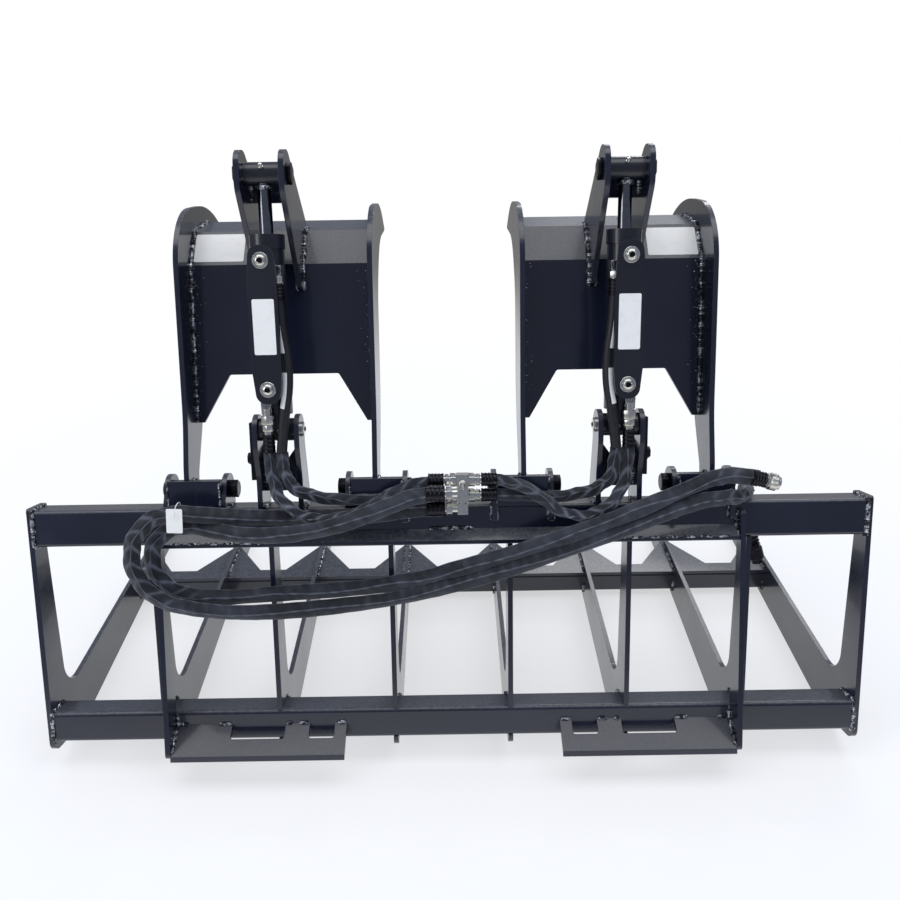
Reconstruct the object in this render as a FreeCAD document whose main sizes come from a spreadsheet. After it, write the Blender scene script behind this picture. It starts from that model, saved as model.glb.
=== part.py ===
"""Root grapple for a skid-steer loader: a tined frame with two hydraulic upper claws.

Every plate is drawn in the frame's own directions: X across the grapple, Y forward from the
rear face of the beams, Z up along the back frame from the heels of the tines. The finished
pieces are then leaned forward together, so that the tines lie flat on the ground.
"""
import FreeCAD, Part
import Sketcher
import math
import os

SIZES = [
    ("overall_width", 1676.0),
    ("plate", 10.0),
    ("tine_count", 8),
    ("beam_side", 63.5),
    ("beam_wall", 6.0),
    ("beam_corner", 8.0),
    ("bottom_beam_z", 23.0),
    ("top_beam_z", 439.5),
    ("top_beam_height", 74.0),
    ("end_plate_rise", 5.0),
    ("leg_depth_top", 48.0),
    ("leg_depth_low", 70.0),
    ("heel_length", 140.0),
    ("heel_radius", 22.0),
    ("throat_height", 97.0),
    ("throat_radius", 51.0),
    ("tine_angle", 20.6),
    ("tine_taper", 2.8),
    ("tine_length", 680.0),
    ("tine_point", 14.0),
    ("tine_bevel", 150.0),
    ("cross_tube_side", 50.8),
    ("cross_tube_wall", 5.0),
    ("cross_tube_y", 489.0),
    ("cross_tube_depth", 26.0),
    ("tooth_plate", 8.0),
    ("tooth_length", 130.0),
    ("tooth_half_width", 90.0),
    ("tooth_root", 28.0),
    ("loader_half_width", 575.0),
    ("loader_plate_height", 497.0),
    ("loader_plate_foot", 8.0),
    ("loader_top_depth", 19.0),
    ("loader_low_depth", 54.0),
    ("lip_length", 350.0),
    ("lip_drop", 42.0),
    ("lip_top_z", 58.0),
    ("lip_plate", 9.0),
    ("lip_notch_depth", 26.0),
    ("long_notch_start", 114.0),
    ("long_notch", 110.0),
    ("short_notch_start", 274.0),
    ("short_notch", 52.0),
    ("hook_depth", 20.0),
    ("hook_top_z", 467.0),
    ("hook_plate", 9.0),
    ("hinge_y", 30.0),
    ("hinge_rise", 34.5),
    ("hinge_pin", 30.0),
    ("hinge_ear_radius", 31.0),
    ("hinge_from_loader", 74.5),
    ("hinge_inner_x", 144.0),
    ("hinge_gap", 102.0),
    ("ear_lap", 12.0),
    ("ear_lap_length", 34.0),
    ("cover_height", 58.0),
    ("cover_plate", 8.0),
    ("bush_diameter", 38.0),
    ("bush_play", 0.5),
    ("pin_clearance", 0.05),
    ("pin_overhang", 17.0),
    ("pin_head", 34.0),
    ("pin_head_length", 7.0),
    ("keeper_width", 30.0),
    ("keeper_length", 112.0),
    ("keeper_plate", 8.0),
    ("base_pin_overhang", 5.0),
    ("cylinder_from_hinge", 169.5),
    ("cylinder_gap", 70.0),
    ("base_pin_y", 0.0),
    ("base_pin_rise", 156.5),
    ("base_ear_radius", 30.0),
    ("base_ear_waist", 60.0),
    ("cylinder_pin", 25.0),
    ("web_y", 32.0),
    ("web_foot", 30.0),
    ("web_height", 128.0),
    ("web_notch", 32.0),
    ("web_notch_half", 12.0),
    ("rod_pin_y", -20.0),
    ("rod_pin_rise", 629.5),
    ("horn_radius", 40.0),
    ("horn_web_height", 44.0),
    ("horn_web_y", 48.0),
    ("barrel_diameter", 60.0),
    ("barrel_bore", 50.8),
    ("barrel_length", 340.0),
    ("barrel_foot", 32.0),
    ("barrel_cap", 14.0),
    ("barrel_eye", 44.0),
    ("eye_length", 69.0),
    ("gland_length", 26.0),
    ("gland_diameter", 65.0),
    ("rod_diameter", 25.0),
    ("rod_eye", 40.0),
    ("piston_length", 34.0),
    ("piston_clearance", 5.0),
    ("guard_width", 54.0),
    ("guard_past_barrel", 5.0),
    ("guard_plate", 8.0),
    ("guard_start", 59.0),
    ("guard_shoulder", 60.0),
    ("guard_bolt_inset", 27.0),
    ("guard_offset", 60.0),
    ("guard_post", 22.0),
    ("washer_diameter", 29.0),
    ("port_height", 57.0),
    ("elbow_body", 18.0),
    ("ferrule_diameter", 17.0),
    ("upper_port_drop", 40.0),
    ("low_port_x", 9.0),
    ("port_offset", 24.0),
    ("low_hose_x", 14.0),
    ("hose_set_back", 46.0),
    ("low_tail", 93.0),
    ("high_tail", 52.0),
    ("hose_straight", 58.0),
    ("hose_over_post", 118.0),
    ("hose_under_post", 74.0),
    ("hose_low_bend", 30.0),
    ("hose_drop", 54.0),
    ("hose_diameter", 20.0),
    ("long_hose_diameter", 24.0),
    ("claw_leg_depth", 110.0),
    ("claw_from_hinge", 15.5),
    ("claw_inner_x", 146.0),
    ("claw_height", 576.0),
    ("claw_reach", 333.0),
    ("claw_leg_rear", 14.0),
    ("claw_leg_rise", 140.0),
    ("claw_crown_y", 215.0),
    ("claw_crown_rise", 6.0),
    ("claw_nose_drop", 41.0),
    ("claw_hollow_y", 175.0),
    ("claw_hollow_drop", 78.0),
    ("claw_leg_drop", 190.0),
    ("claw_waist", 160.0),
    ("cross_plate", 8.0),
    ("cross_plate_set_back", 62.0),
    ("cross_plate_low", 128.0),
    ("cross_bend_y", 16.0),
    ("cross_bend_drop", 134.0),
    ("cross_upper_y", 58.0),
    ("cross_upper_drop", 64.0),
    ("cross_edge_y", 150.0),
    ("cross_edge_drop", 34.0),
    ("cross_cut_rise", 96.0),
    ("cross_cut_low_inset", 14.0),
    ("cross_cut_top_inset", 70.0),
    ("tee_body", 24.0),
    ("tee_branch", 16.0),
    ("coupler_diameter", 32.0),
    ("short_coupler", 40.0),
    ("long_coupler", 70.0),
]

doc = FreeCAD.newDocument("RootGrapple")
sheet = doc.addObject("Spreadsheet::Sheet", "Sizes")
for row, (alias, value) in enumerate(SIZES, 1):
    sheet.set("A%d" % row, alias.replace("_", " "))
    sheet.set("B%d" % row, str(value))
    sheet.setAlias("B%d" % row, alias)
doc.recompute()


def size(alias):
    """The value of one cell of the sheet."""
    return float(sheet.get(alias))


vec = FreeCAD.Vector
X_AXIS = vec(1, 0, 0)
Y_AXIS = vec(0, 1, 0)
Z_AXIS = vec(0, 0, 1)
SIDES = (("left", -1), ("right", 1))

# places worked out from the sizes
plate = size("plate")
half_width = size("overall_width") / 2
beam = size("beam_side")
bottom_z = size("bottom_beam_z")
top_z = size("top_beam_z")
top_height = size("top_beam_height")
frame_top = top_z + top_height
tine_slope = math.radians(size("tine_angle"))
upper_slope = math.radians(size("tine_angle") - size("tine_taper"))
tine_pitch = (size("overall_width") - plate) / (size("tine_count") - 1)
tine_x = [-half_width + plate / 2 + tine_pitch * i for i in range(int(size("tine_count")))]
hinge = vec(0, size("hinge_y"), frame_top + size("hinge_rise"))
base_pin = vec(0, size("base_pin_y"), frame_top + size("base_pin_rise"))
rod_pin = vec(0, size("rod_pin_y"), frame_top + size("rod_pin_rise"))
cylinder_angle = math.degrees(math.atan2(base_pin.y - rod_pin.y, rod_pin.z - base_pin.z))
pin_to_pin = (rod_pin - base_pin).Length

# the whole grapple leans forward until the tines are level, above the middle of its footprint
heel_corner = vec(0, size("heel_length"), 0)
lean = FreeCAD.Rotation(X_AXIS, -size("tine_angle"))
ground = lean.multVec(heel_corner).z
rearmost = lean.multVec(vec(0, -size("loader_low_depth"), size("loader_plate_foot"))).y
foremost = lean.multVec(heel_corner).y + size("tine_length")
LEAN = FreeCAD.Placement(vec(0, -(rearmost + foremost) / 2, -ground), lean)

nodes = []


def node(label, pieces):
    """Give a sub-part its name and lean it with the rest; several pieces become one group."""
    if len(pieces) == 1:
        piece = pieces[0]
        doc.recompute()
        piece.Placement = LEAN.multiply(piece.Placement)
    else:
        piece = doc.addObject("Part::Compound", "Group_" + label)
        piece.Links = pieces
        piece.Placement = LEAN
    piece.Label = label
    nodes.append(piece)
    return piece


def round_corners(corners):
    """Lines and tangent arcs round a closed outline of (x, y) or (x, y, radius) corners."""
    points = [vec(c[0], c[1], 0) for c in corners]
    radii = [c[2] if len(c) > 2 else 0 for c in corners]
    stops = []
    for i, corner in enumerate(points):
        before = (points[i - 1] - corner).normalize()
        after = (points[(i + 1) % len(points)] - corner).normalize()
        half_angle = before.getAngle(after) / 2
        if radii[i] == 0:
            stops.append((corner, None, corner))
            continue
        setback = radii[i] / math.tan(half_angle)
        toward_centre = (before + after).normalize()
        middle = corner + toward_centre * (radii[i] / math.sin(half_angle) - radii[i])
        stops.append((corner + before * setback, middle, corner + after * setback))
    edges = []
    for i, (start, middle, end) in enumerate(stops):
        if middle is not None:
            edges.append(Part.Arc(start, middle, end))
        following = stops[(i + 1) % len(stops)][0]
        if end.distanceToPoint(following) > 0.001:
            edges.append(Part.LineSegment(end, following))
    return edges


def sketch_on(body, role, edges):
    """A sketch on one of the body's own origin planes."""
    sketch = body.newObject("Sketcher::SketchObject", body.Name + "_Outline")
    plane = [f for f in body.Origin.OriginFeatures if f.Role == role][0]
    sketch.AttachmentSupport = [(plane, "")]
    sketch.MapMode = "FlatFace"
    for edge in edges:
        sketch.addGeometry(edge, False)
    return sketch


def circle(x, y, radius):
    return Part.Circle(vec(x, y, 0), Z_AXIS, radius)


def side_plate(name, corners, x_middle, thickness="plate", holes=()):
    """A plate that stands in the YZ plane: its outline padded across X, then drilled."""
    body = doc.addObject("PartDesign::Body", name)
    outline = sketch_on(body, "YZ_Plane", round_corners(corners) + [circle(*h) for h in holes])
    pad = body.newObject("PartDesign::Pad", name + "_Pad")
    pad.Profile = outline
    pad.setExpression("Length", "Sizes." + thickness)
    doc.recompute()
    body.Placement = FreeCAD.Placement(vec(x_middle - pad.Length.Value / 2, 0, 0), FreeCAD.Rotation())
    return body


def bar_across(name, corners, length, x_middle, inner=()):
    """A section drawn in the YZ plane and run across X, such as a square tube or a bent strip."""
    body = doc.addObject("PartDesign::Body", name)
    edges = round_corners(corners)
    if inner:
        edges += round_corners(inner)
    pad = body.newObject("PartDesign::Pad", name + "_Pad")
    pad.Profile = sketch_on(body, "YZ_Plane", edges)
    pad.Length = length
    doc.recompute()
    body.Placement = FreeCAD.Placement(vec(x_middle - length / 2, 0, 0), FreeCAD.Rotation())
    return body


def rod_between(name, start, end, diameter, bore=""):
    """A round bar or tube between two points, its diameter and bore named in the sheet."""
    axis = end - start
    turn = FreeCAD.Rotation(Z_AXIS, axis)
    bar = doc.addObject("Part::Cylinder", name)
    bar.setExpression("Radius", "Sizes.%s / 2" % diameter)
    bar.Height = axis.Length
    if not bore:
        bar.Placement = FreeCAD.Placement(start, turn)
        return bar
    hole = doc.addObject("Part::Cylinder", name + "_Bore")
    hole.setExpression("Radius", "Sizes.%s / 2 + Sizes.pin_clearance" % bore)
    hole.Height = axis.Length
    tube = doc.addObject("Part::Cut", name + "_Tube")
    tube.Base = bar
    tube.Tool = hole
    tube.Placement = FreeCAD.Placement(start, turn)
    return tube


def fuse(name, pieces):
    joined = doc.addObject("Part::MultiFuse", name)
    joined.Shapes = pieces
    return joined


def tube_section(y, z, depth, height, corner, slope=0.0):
    """The corners of a square or oblong whose rear top corner is at (y, z), turned by a slope."""
    along = vec(math.cos(slope), math.sin(slope), 0)
    down = vec(math.sin(slope), -math.cos(slope), 0)
    first = vec(y, z, 0)
    ring = [first, first + along * depth, first + along * depth + down * height, first + down * height]
    return [(p.x, p.y, corner) if corner else (p.x, p.y) for p in ring]


# the two beams of the back frame
inner_width = size("overall_width") - 2 * plate
wall = size("beam_wall")
for name, z, height in (("top_beam", top_z, top_height), ("bottom_beam", bottom_z, beam)):
    outer = tube_section(0, z + height, beam, height, size("beam_corner"))
    hollow = tube_section(wall, z + height - wall, beam - 2 * wall, height - 2 * wall,
                          size("beam_corner") - wall)
    node(name, [bar_across(name, outer, inner_width, 0, hollow)])

# the tines: a leg up the back frame, a heel on the ground, and a tapering prong
leg_low = size("leg_depth_low")
leg_top = size("leg_depth_top")
throat = vec(leg_low + 4, size("throat_height"), 0)
prong = vec(math.cos(tine_slope), math.sin(tine_slope), 0)
upper = vec(math.cos(upper_slope), math.sin(upper_slope), 0)
heel = vec(size("heel_length"), 0, 0)
tip = heel + prong * size("tine_length")
point_top = tip + vec(-prong.y, prong.x, 0) * size("tine_point")
bevel_reach = (tip - throat).dot(upper) - size("tine_bevel")
bevel = throat + upper * bevel_reach
tube_rear = vec(size("cross_tube_y"), 0, 0)
tube_rear.y = throat.y + (tube_rear.x - throat.x) * math.tan(upper_slope) - size("cross_tube_depth")
front = [
    (heel.x, heel.y, 60),
    (tip.x, tip.y, 4),
    (point_top.x, point_top.y, 4),
    (bevel.x, bevel.y, 120),
    (throat.x, throat.y, size("throat_radius")),
]


def tine(name, x, is_end):
    """One tine; the inner ones are notched round the bottom beam and bored for the cross tube."""
    if is_end:
        top = frame_top + size("end_plate_rise")
        rear = [(leg_top, top_z), (leg_top + beam / 4, top_z + 20), (leg_top + beam / 4, top, 6),
                (0, top, 6), (0, 0, size("heel_radius"))]
        return side_plate(name, front + rear, x)
    rear = [(leg_top, top_z), (0, top_z), (0, bottom_z + beam), (beam, bottom_z + beam),
            (beam, bottom_z), (0, bottom_z), (0, 0, size("heel_radius"))]
    body = side_plate(name, front + rear, x)
    side = size("cross_tube_side")
    opening = tube_section(tube_rear.x, tube_rear.y, side, side, 0, upper_slope)
    slot = body.newObject("PartDesign::Pocket", name + "_Slot")
    slot.Profile = sketch_on(body, "YZ_Plane", round_corners(opening))
    slot.Type = 1
    slot.Reversed = True
    before = body.Shape.Volume
    doc.recompute()
    assert body.Shape.Volume < before - 100, name + " slot cuts nothing"
    return body


for number, x in enumerate(tine_x, 1):
    node("tine_%d" % number, [tine("Tine%d" % number, x, x in (tine_x[0], tine_x[-1]))])

# the front cross tube and the tooth plates on it
tube = size("cross_tube_side")
tube_wall = size("cross_tube_wall")
tube_hole = vec(tube_rear.x, tube_rear.y, 0) + (upper + vec(upper.y, -upper.x, 0)) * tube_wall
outer = tube_section(tube_rear.x, tube_rear.y, tube, tube, 6, upper_slope)
inside = tube - 2 * tube_wall
hollow = tube_section(tube_hole.x, tube_hole.y, inside, inside, 2, upper_slope)
node("front_cross_tube", [bar_across("FrontCrossTube", outer, inner_width, 0, hollow)])


def tooth_plate(name, x_left, x_right):
    """A plate between two tines with half a tooth along each and a flat valley between."""
    root = size("tooth_root")
    half = size("tooth_half_width")
    face = plate / 2
    peak = root + size("tooth_length") * (half - face) / half
    corners = [(x_left + face, 0), (x_right - face, 0), (x_right - face, peak),
               (x_right - half, root, 8), (x_left + half, root, 8), (x_left + face, peak)]
    body = doc.addObject("PartDesign::Body", name)
    pad = body.newObject("PartDesign::Pad", name + "_Pad")
    pad.Profile = sketch_on(body, "XY_Plane", round_corners(corners))
    pad.setExpression("Length", "Sizes.tooth_plate")
    turn = FreeCAD.Rotation(X_AXIS, math.degrees(upper_slope))
    body.Placement = FreeCAD.Placement(vec(0, tube_rear.x, tube_rear.y), turn)
    return body


node("tooth_plates", [tooth_plate("ToothPlate%d" % i, tine_x[i], tine_x[i + 1])
                      for i in range(len(tine_x) - 1)])

# the loader attachment: side plates, slotted lips below and the hook flange above
loader_x = size("loader_half_width")
loader_top = size("loader_plate_height")
foot = size("loader_plate_foot")
low_depth = size("loader_low_depth")
side_outline = [(0, loader_top), (-size("loader_top_depth"), loader_top, 8), (-low_depth, foot, 12),
                (-beam / 4, foot), (0, bottom_z)]
node("loader_side_plates", [side_plate("LoaderSide_" + side, side_outline, sign * loader_x)
                            for side, sign in SIDES])


def loader_lip(side, sign):
    """A sloping strip under the bottom beam with two notches for the loader's locking pins."""
    length = size("lip_length")
    top = size("lip_top_z")
    thick = size("lip_plate") / math.cos(math.atan2(size("lip_drop"), low_depth))
    profile = [(0, top), (-low_depth, top - size("lip_drop")),
               (-low_depth, top - size("lip_drop") - thick), (0, top - thick)]
    inner_end = loader_x - plate / 2 - length
    x_middle = sign * (inner_end + length / 2)
    body = bar_across("LoaderLip_" + side, profile, length, x_middle)
    depth = size("lip_notch_depth")
    edges = []
    for start, width in (("long_notch_start", "long_notch"), ("short_notch_start", "short_notch")):
        near = size(start)
        far = near + size(width)
        if sign > 0:
            near, far = length - far, length - near
        edges += round_corners([(near, 5), (near, -depth, 5), (far, -depth, 5), (far, 5)])
    notch = body.newObject("PartDesign::Pocket", "LipNotch_" + side)
    notch.Profile = sketch_on(body, "XY_Plane", edges)
    notch.Type = 1
    notch.Reversed = True
    before = body.Shape.Volume
    doc.recompute()
    assert body.Shape.Volume < before - 100, "lip notch cuts nothing"
    return body


node("loader_lips", [loader_lip(side, sign) for side, sign in SIDES])
hook_top = size("hook_top_z")
hook_depth = size("hook_depth")
hook_outline = [(0, hook_top), (-hook_depth, hook_top - hook_depth),
                (-hook_depth, hook_top - hook_depth - size("hook_plate") * 1.41, 3),
                (0, hook_top - size("hook_plate") * 1.41)]
node("loader_hook_flange", [bar_across("HookFlange", hook_outline, 2 * loader_x - plate, 0)])

# the four claw hinges: ears on the top beam, rear covers and pins
ear_r = size("hinge_ear_radius")
lap = size("ear_lap")
lap_z = frame_top - size("ear_lap_length")
hinge_gap = size("hinge_gap")
hinge_outline = [
    (-lap, lap_z, 5),
    (-lap, frame_top + 12, 30),
    (hinge.y - ear_r, hinge.z, 30),
    (hinge.y - ear_r, hinge.z + ear_r, ear_r - 1),
    (hinge.y + ear_r, hinge.z + ear_r, ear_r - 1),
    (beam, frame_top),
    (0, frame_top),
    (0, lap_z),
]
pin_hole = (hinge.y, hinge.z, size("hinge_pin") / 2 + size("pin_clearance"))
outer_hinge_x = loader_x - size("hinge_from_loader")
outer_claw_x = outer_hinge_x + size("claw_from_hinge")
hinge_places = []
for side, sign in SIDES:
    hinge_places.append((side + "Outer", sign * outer_hinge_x, -sign))
    hinge_places.append((side + "Inner", sign * size("hinge_inner_x"), sign))
ears = []
covers = []
pins = []
for place, x, toward_claw in hinge_places:
    for end in (-1, 1):
        x_ear = x + end * (hinge_gap + plate) / 2
        ears.append(side_plate("HingeEar_%s%s" % (place, "AB"[end > 0]), hinge_outline, x_ear,
                               holes=[pin_hole]))
    cover = doc.addObject("Part::Box", "HingeCover_" + place)
    cover.setExpression("Length", "Sizes.hinge_gap")
    cover.setExpression("Width", "Sizes.cover_plate")
    cover.setExpression("Height", "Sizes.cover_height")
    cover.Placement.Base = vec(x - hinge_gap / 2, -lap, frame_top)
    covers.append(cover)
    reach = hinge_gap / 2 + plate
    shank = rod_between("HingePin_" + place, hinge + X_AXIS * (x - toward_claw * reach),
                        hinge + X_AXIS * (x + toward_claw * (reach + size("pin_overhang"))), "hinge_pin")
    far_end = hinge + X_AXIS * (x - toward_claw * (reach + 0.2))
    head = rod_between("HingePinHead_" + place, far_end,
                       far_end - X_AXIS * (toward_claw * size("pin_head_length")), "pin_head")
    neck = rod_between("HingePinNeck_" + place, far_end, far_end + X_AXIS * toward_claw, "hinge_pin")
    pins.append(fuse("HingePinWhole_" + place, [shank, head, neck]))
node("hinge_ears", ears)
node("hinge_covers", covers)
node("hinge_pins", pins)

# the two cylinder brackets: ears, notched web and base pin
cyl_x = outer_hinge_x - size("cylinder_from_hinge")
cyl_gap = size("cylinder_gap")
base_r = size("base_ear_radius")
bracket_outline = [
    (-lap, lap_z, 5),
    (-lap, frame_top + size("base_ear_waist"), size("base_ear_waist")),
    (base_pin.y - base_r, base_pin.z - 30, 40),
    (base_pin.y - base_r, base_pin.z + base_r, base_r - 1),
    (base_pin.y + base_r, base_pin.z + base_r, base_r - 1),
    (base_pin.y + base_r, base_pin.z - 30, size("base_ear_waist")),
    (beam, frame_top + 20),
    (beam, frame_top),
    (0, frame_top),
    (0, lap_z),
]
base_hole = (base_pin.y, base_pin.z, size("cylinder_pin") / 2 + size("pin_clearance"))
brackets = []
base_pins = []
webs = []
for side, sign in SIDES:
    for end in (-1, 1):
        x_ear = sign * cyl_x + end * (cyl_gap + plate) / 2
        brackets.append(side_plate("BaseEar_%s%s" % (side, "AB"[end > 0]), bracket_outline, x_ear,
                                   holes=[base_hole]))
    half = cyl_gap / 2
    web_low = frame_top + size("web_foot")
    web_top = frame_top + size("web_height")
    web = doc.addObject("PartDesign::Body", "BracketWeb_" + side)
    pad = web.newObject("PartDesign::Pad", "BracketWebPad_" + side)
    notch_z = web_top - size("web_notch")
    notch_half = size("web_notch_half")
    pad.Profile = sketch_on(web, "XZ_Plane", round_corners([
        (-half, web_low), (half, web_low), (half, web_top), (notch_half, notch_z, 6),
        (-notch_half, notch_z, 6), (-half, web_top)]))
    pad.setExpression("Length", "Sizes.cover_plate")
    web.Placement.Base = vec(sign * cyl_x, size("web_y"), 0)
    webs.append(web)
    middle = base_pin + X_AXIS * (sign * cyl_x)
    reach = cyl_gap / 2 + plate
    outer = middle + X_AXIS * (sign * (reach + 0.2))
    shank = rod_between("BasePin_" + side, outer,
                        middle - X_AXIS * (sign * (reach + size("base_pin_overhang"))), "cylinder_pin")
    keeper = doc.addObject("Part::Box", "Keeper_" + side)
    keeper.setExpression("Length", "Sizes.keeper_plate")
    keeper.setExpression("Width", "Sizes.keeper_width")
    keeper.setExpression("Height", "Sizes.keeper_length")
    keeper.Placement.Base = outer + vec(0 if sign > 0 else -size("keeper_plate"), -size("keeper_width") / 2,
                                        size("keeper_width") / 2 - size("keeper_length"))
    base_pins.append(fuse("BasePinWhole_" + side, [shank, keeper]))
node("cylinder_brackets", brackets)
node("bracket_webs", webs)
node("base_pins", base_pins)

# the claws: two hooked side plates, a bent cross plate, horns for the rod and hinge bushes
claw_top = hinge.z + size("claw_height")
nose = vec(hinge.y + size("claw_reach"), claw_top - size("claw_nose_drop"), 0)
leg_rear = hinge.y - size("claw_leg_rear")
leg_front = leg_rear + size("claw_leg_depth")
claw_outline = [
    (hinge.y - ear_r, hinge.z - ear_r, ear_r - 1),
    (hinge.y - ear_r, hinge.z + 40, 200),
    (leg_rear, hinge.z + size("claw_leg_rise"), 400),
    (leg_rear + 6, claw_top - 40, 130),
    (hinge.y + size("claw_crown_y"), claw_top + size("claw_crown_rise"), 260),
    (nose.x, nose.y, 3),
    (hinge.y + size("claw_hollow_y"), claw_top - size("claw_hollow_drop"), 160),
    (leg_front + 8, claw_top - size("claw_leg_drop"), 160),
    (leg_front, hinge.z + size("claw_waist"), 300),
    (hinge.y + ear_r + 4, hinge.z + 28, 60),
    (hinge.y + ear_r, hinge.z - ear_r, ear_r - 1),
]
bush_hole = (hinge.y, hinge.z, size("bush_diameter") / 2 + size("pin_clearance"))


def offset_down(line, depth):
    """The same bent line moved squarely to its lower right by a plate's thickness."""
    normals = []
    for a, b in zip(line, line[1:]):
        along = (b - a).normalize()
        normals.append(vec(along.y, -along.x, 0))
    moved = [line[0] + normals[0] * depth]
    for i in range(1, len(line) - 1):
        both = (normals[i - 1] + normals[i]).normalize()
        moved.append(line[i] + both * (depth / both.dot(normals[i])))
    moved.append(line[-1] + normals[-1] * depth)
    return moved


set_back = leg_rear + size("cross_plate_set_back")
bend_line = [
    vec(set_back, hinge.z + size("cross_plate_low"), 0),
    vec(set_back + size("cross_bend_y"), claw_top - size("cross_bend_drop"), 0),
    vec(set_back + size("cross_upper_y"), claw_top - size("cross_upper_drop"), 0),
    vec(set_back + size("cross_edge_y"), claw_top - size("cross_edge_drop"), 0),
]
cross_front = offset_down(bend_line, size("cross_plate"))
horn_r = size("horn_radius")
horn_line = [vec(bend_line[0].x + (bend_line[1].x - bend_line[0].x) * 0.83,
                 bend_line[0].y + (bend_line[1].y - bend_line[0].y) * 0.83, 0),
             bend_line[1], bend_line[2], bend_line[2] + (bend_line[3] - bend_line[2]) * 0.3]
horn_outline = [(p.x, p.y) for p in horn_line] + [
    (horn_line[3].x - 20, horn_line[3].y + 14, 10),
    (rod_pin.y + horn_r, rod_pin.z + horn_r - 20, horn_r - 6),
    (rod_pin.y + 4, rod_pin.z + horn_r + 4, horn_r - 4),
    (rod_pin.y - horn_r, rod_pin.z + horn_r - 6, horn_r - 10),
    (rod_pin.y - horn_r, rod_pin.z - 30, 40),
    (horn_line[0].x - 18, horn_line[0].y + 6, 8),
]
rod_hole = (rod_pin.y, rod_pin.z, size("cylinder_pin") / 2 + size("pin_clearance"))


def cross_plate(side, sign):
    """The plate between a claw's sides, bent twice, with a trapezoid cut from its lower edge."""
    near = size("claw_inner_x") + plate / 2
    far = outer_claw_x - plate / 2
    length = far - near
    corners = [(p.x, p.y) for p in bend_line] + [(p.x, p.y) for p in reversed(cross_front)]
    body = bar_across("CrossPlate_" + side, corners, length, sign * (near + far) / 2)
    low = bend_line[0].y
    high = low + size("cross_cut_rise")
    low_inset = size("cross_cut_low_inset")
    top_inset = size("cross_cut_top_inset")
    cut = body.newObject("PartDesign::Pocket", "CrossPlateCut_" + side)
    cut.Profile = sketch_on(body, "XZ_Plane", round_corners([
        (low_inset, low - 20), (length - low_inset, low - 20), (length - low_inset, low),
        (length - top_inset, high, 6), (top_inset, high, 6), (low_inset, low)]))
    cut.Type = 1
    before = body.Shape.Volume
    doc.recompute()
    assert body.Shape.Volume < before - 100, "cross plate cut takes nothing"
    return body


for side, sign in SIDES:
    for place, x in (("outer", sign * outer_claw_x), ("inner", sign * size("claw_inner_x"))):
        plate_name = "ClawSide_%s_%s" % (side, place)
        node("%s_claw_%s_side" % (side, place),
             [side_plate(plate_name, claw_outline, x, holes=[bush_hole])])
    node("%s_claw_cross_plate" % side, [cross_plate(side, sign)])
    horns = []
    pin_ends = []
    for end in (-1, 1):
        x_horn = sign * cyl_x + end * (cyl_gap + plate) / 2
        horns.append(side_plate("Horn_%s%s" % (side, "AB"[end > 0]), horn_outline, x_horn,
                                holes=[rod_hole]))
        inside = rod_pin + X_AXIS * (sign * cyl_x + end * (cyl_gap / 2 + 0.05))
        outside = inside + X_AXIS * (end * (plate + 0.15))
        stub = rod_between("RodPin_%s%s" % (side, "AB"[end > 0]), inside,
                           outside + X_AXIS * end, "cylinder_pin")
        head = rod_between("RodPinHead_%s%s" % (side, "AB"[end > 0]), outside,
                           outside + X_AXIS * (end * size("pin_head_length")), "pin_head")
        pin_ends.append(fuse("RodPinWhole_%s%s" % (side, "AB"[end > 0]), [stub, head]))
    horn_web = doc.addObject("Part::Box", "HornWeb_" + side)
    horn_web.setExpression("Length", "Sizes.cylinder_gap")
    horn_web.setExpression("Width", "Sizes.cover_plate")
    horn_web.setExpression("Height", "Sizes.horn_web_height")
    horn_web.Placement.Base = vec(sign * cyl_x - cyl_gap / 2, rod_pin.y + size("horn_web_y"),
                                  rod_pin.z - size("horn_web_height"))
    node("%s_claw_horns" % side, horns + [horn_web])
    node("%s_rod_pin_ends" % side, pin_ends)
    bushes = []
    for place, x, toward_claw in hinge_places:
        if place.startswith(side):
            reach = hinge_gap / 2 - size("bush_play")
            bushes.append(rod_between("Bush_" + place, hinge + X_AXIS * (x - reach),
                                      hinge + X_AXIS * (x + reach), "bush_diameter", "hinge_pin"))
    node("%s_claw_bushes" % side, bushes)


# the cylinders, drawn upright from the base pin and then set on the line between the pins
def along_cylinder(sign):
    turn = FreeCAD.Rotation(X_AXIS, cylinder_angle)
    return FreeCAD.Placement(base_pin + X_AXIS * (sign * cyl_x), turn)


def cylinder_node(label, pieces, sign):
    """A sub-part drawn in the cylinder's own directions, set in place."""
    for piece in pieces:
        doc.recompute()
        piece.Placement = along_cylinder(sign).multiply(piece.Placement)
    return node(label, pieces)


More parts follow.
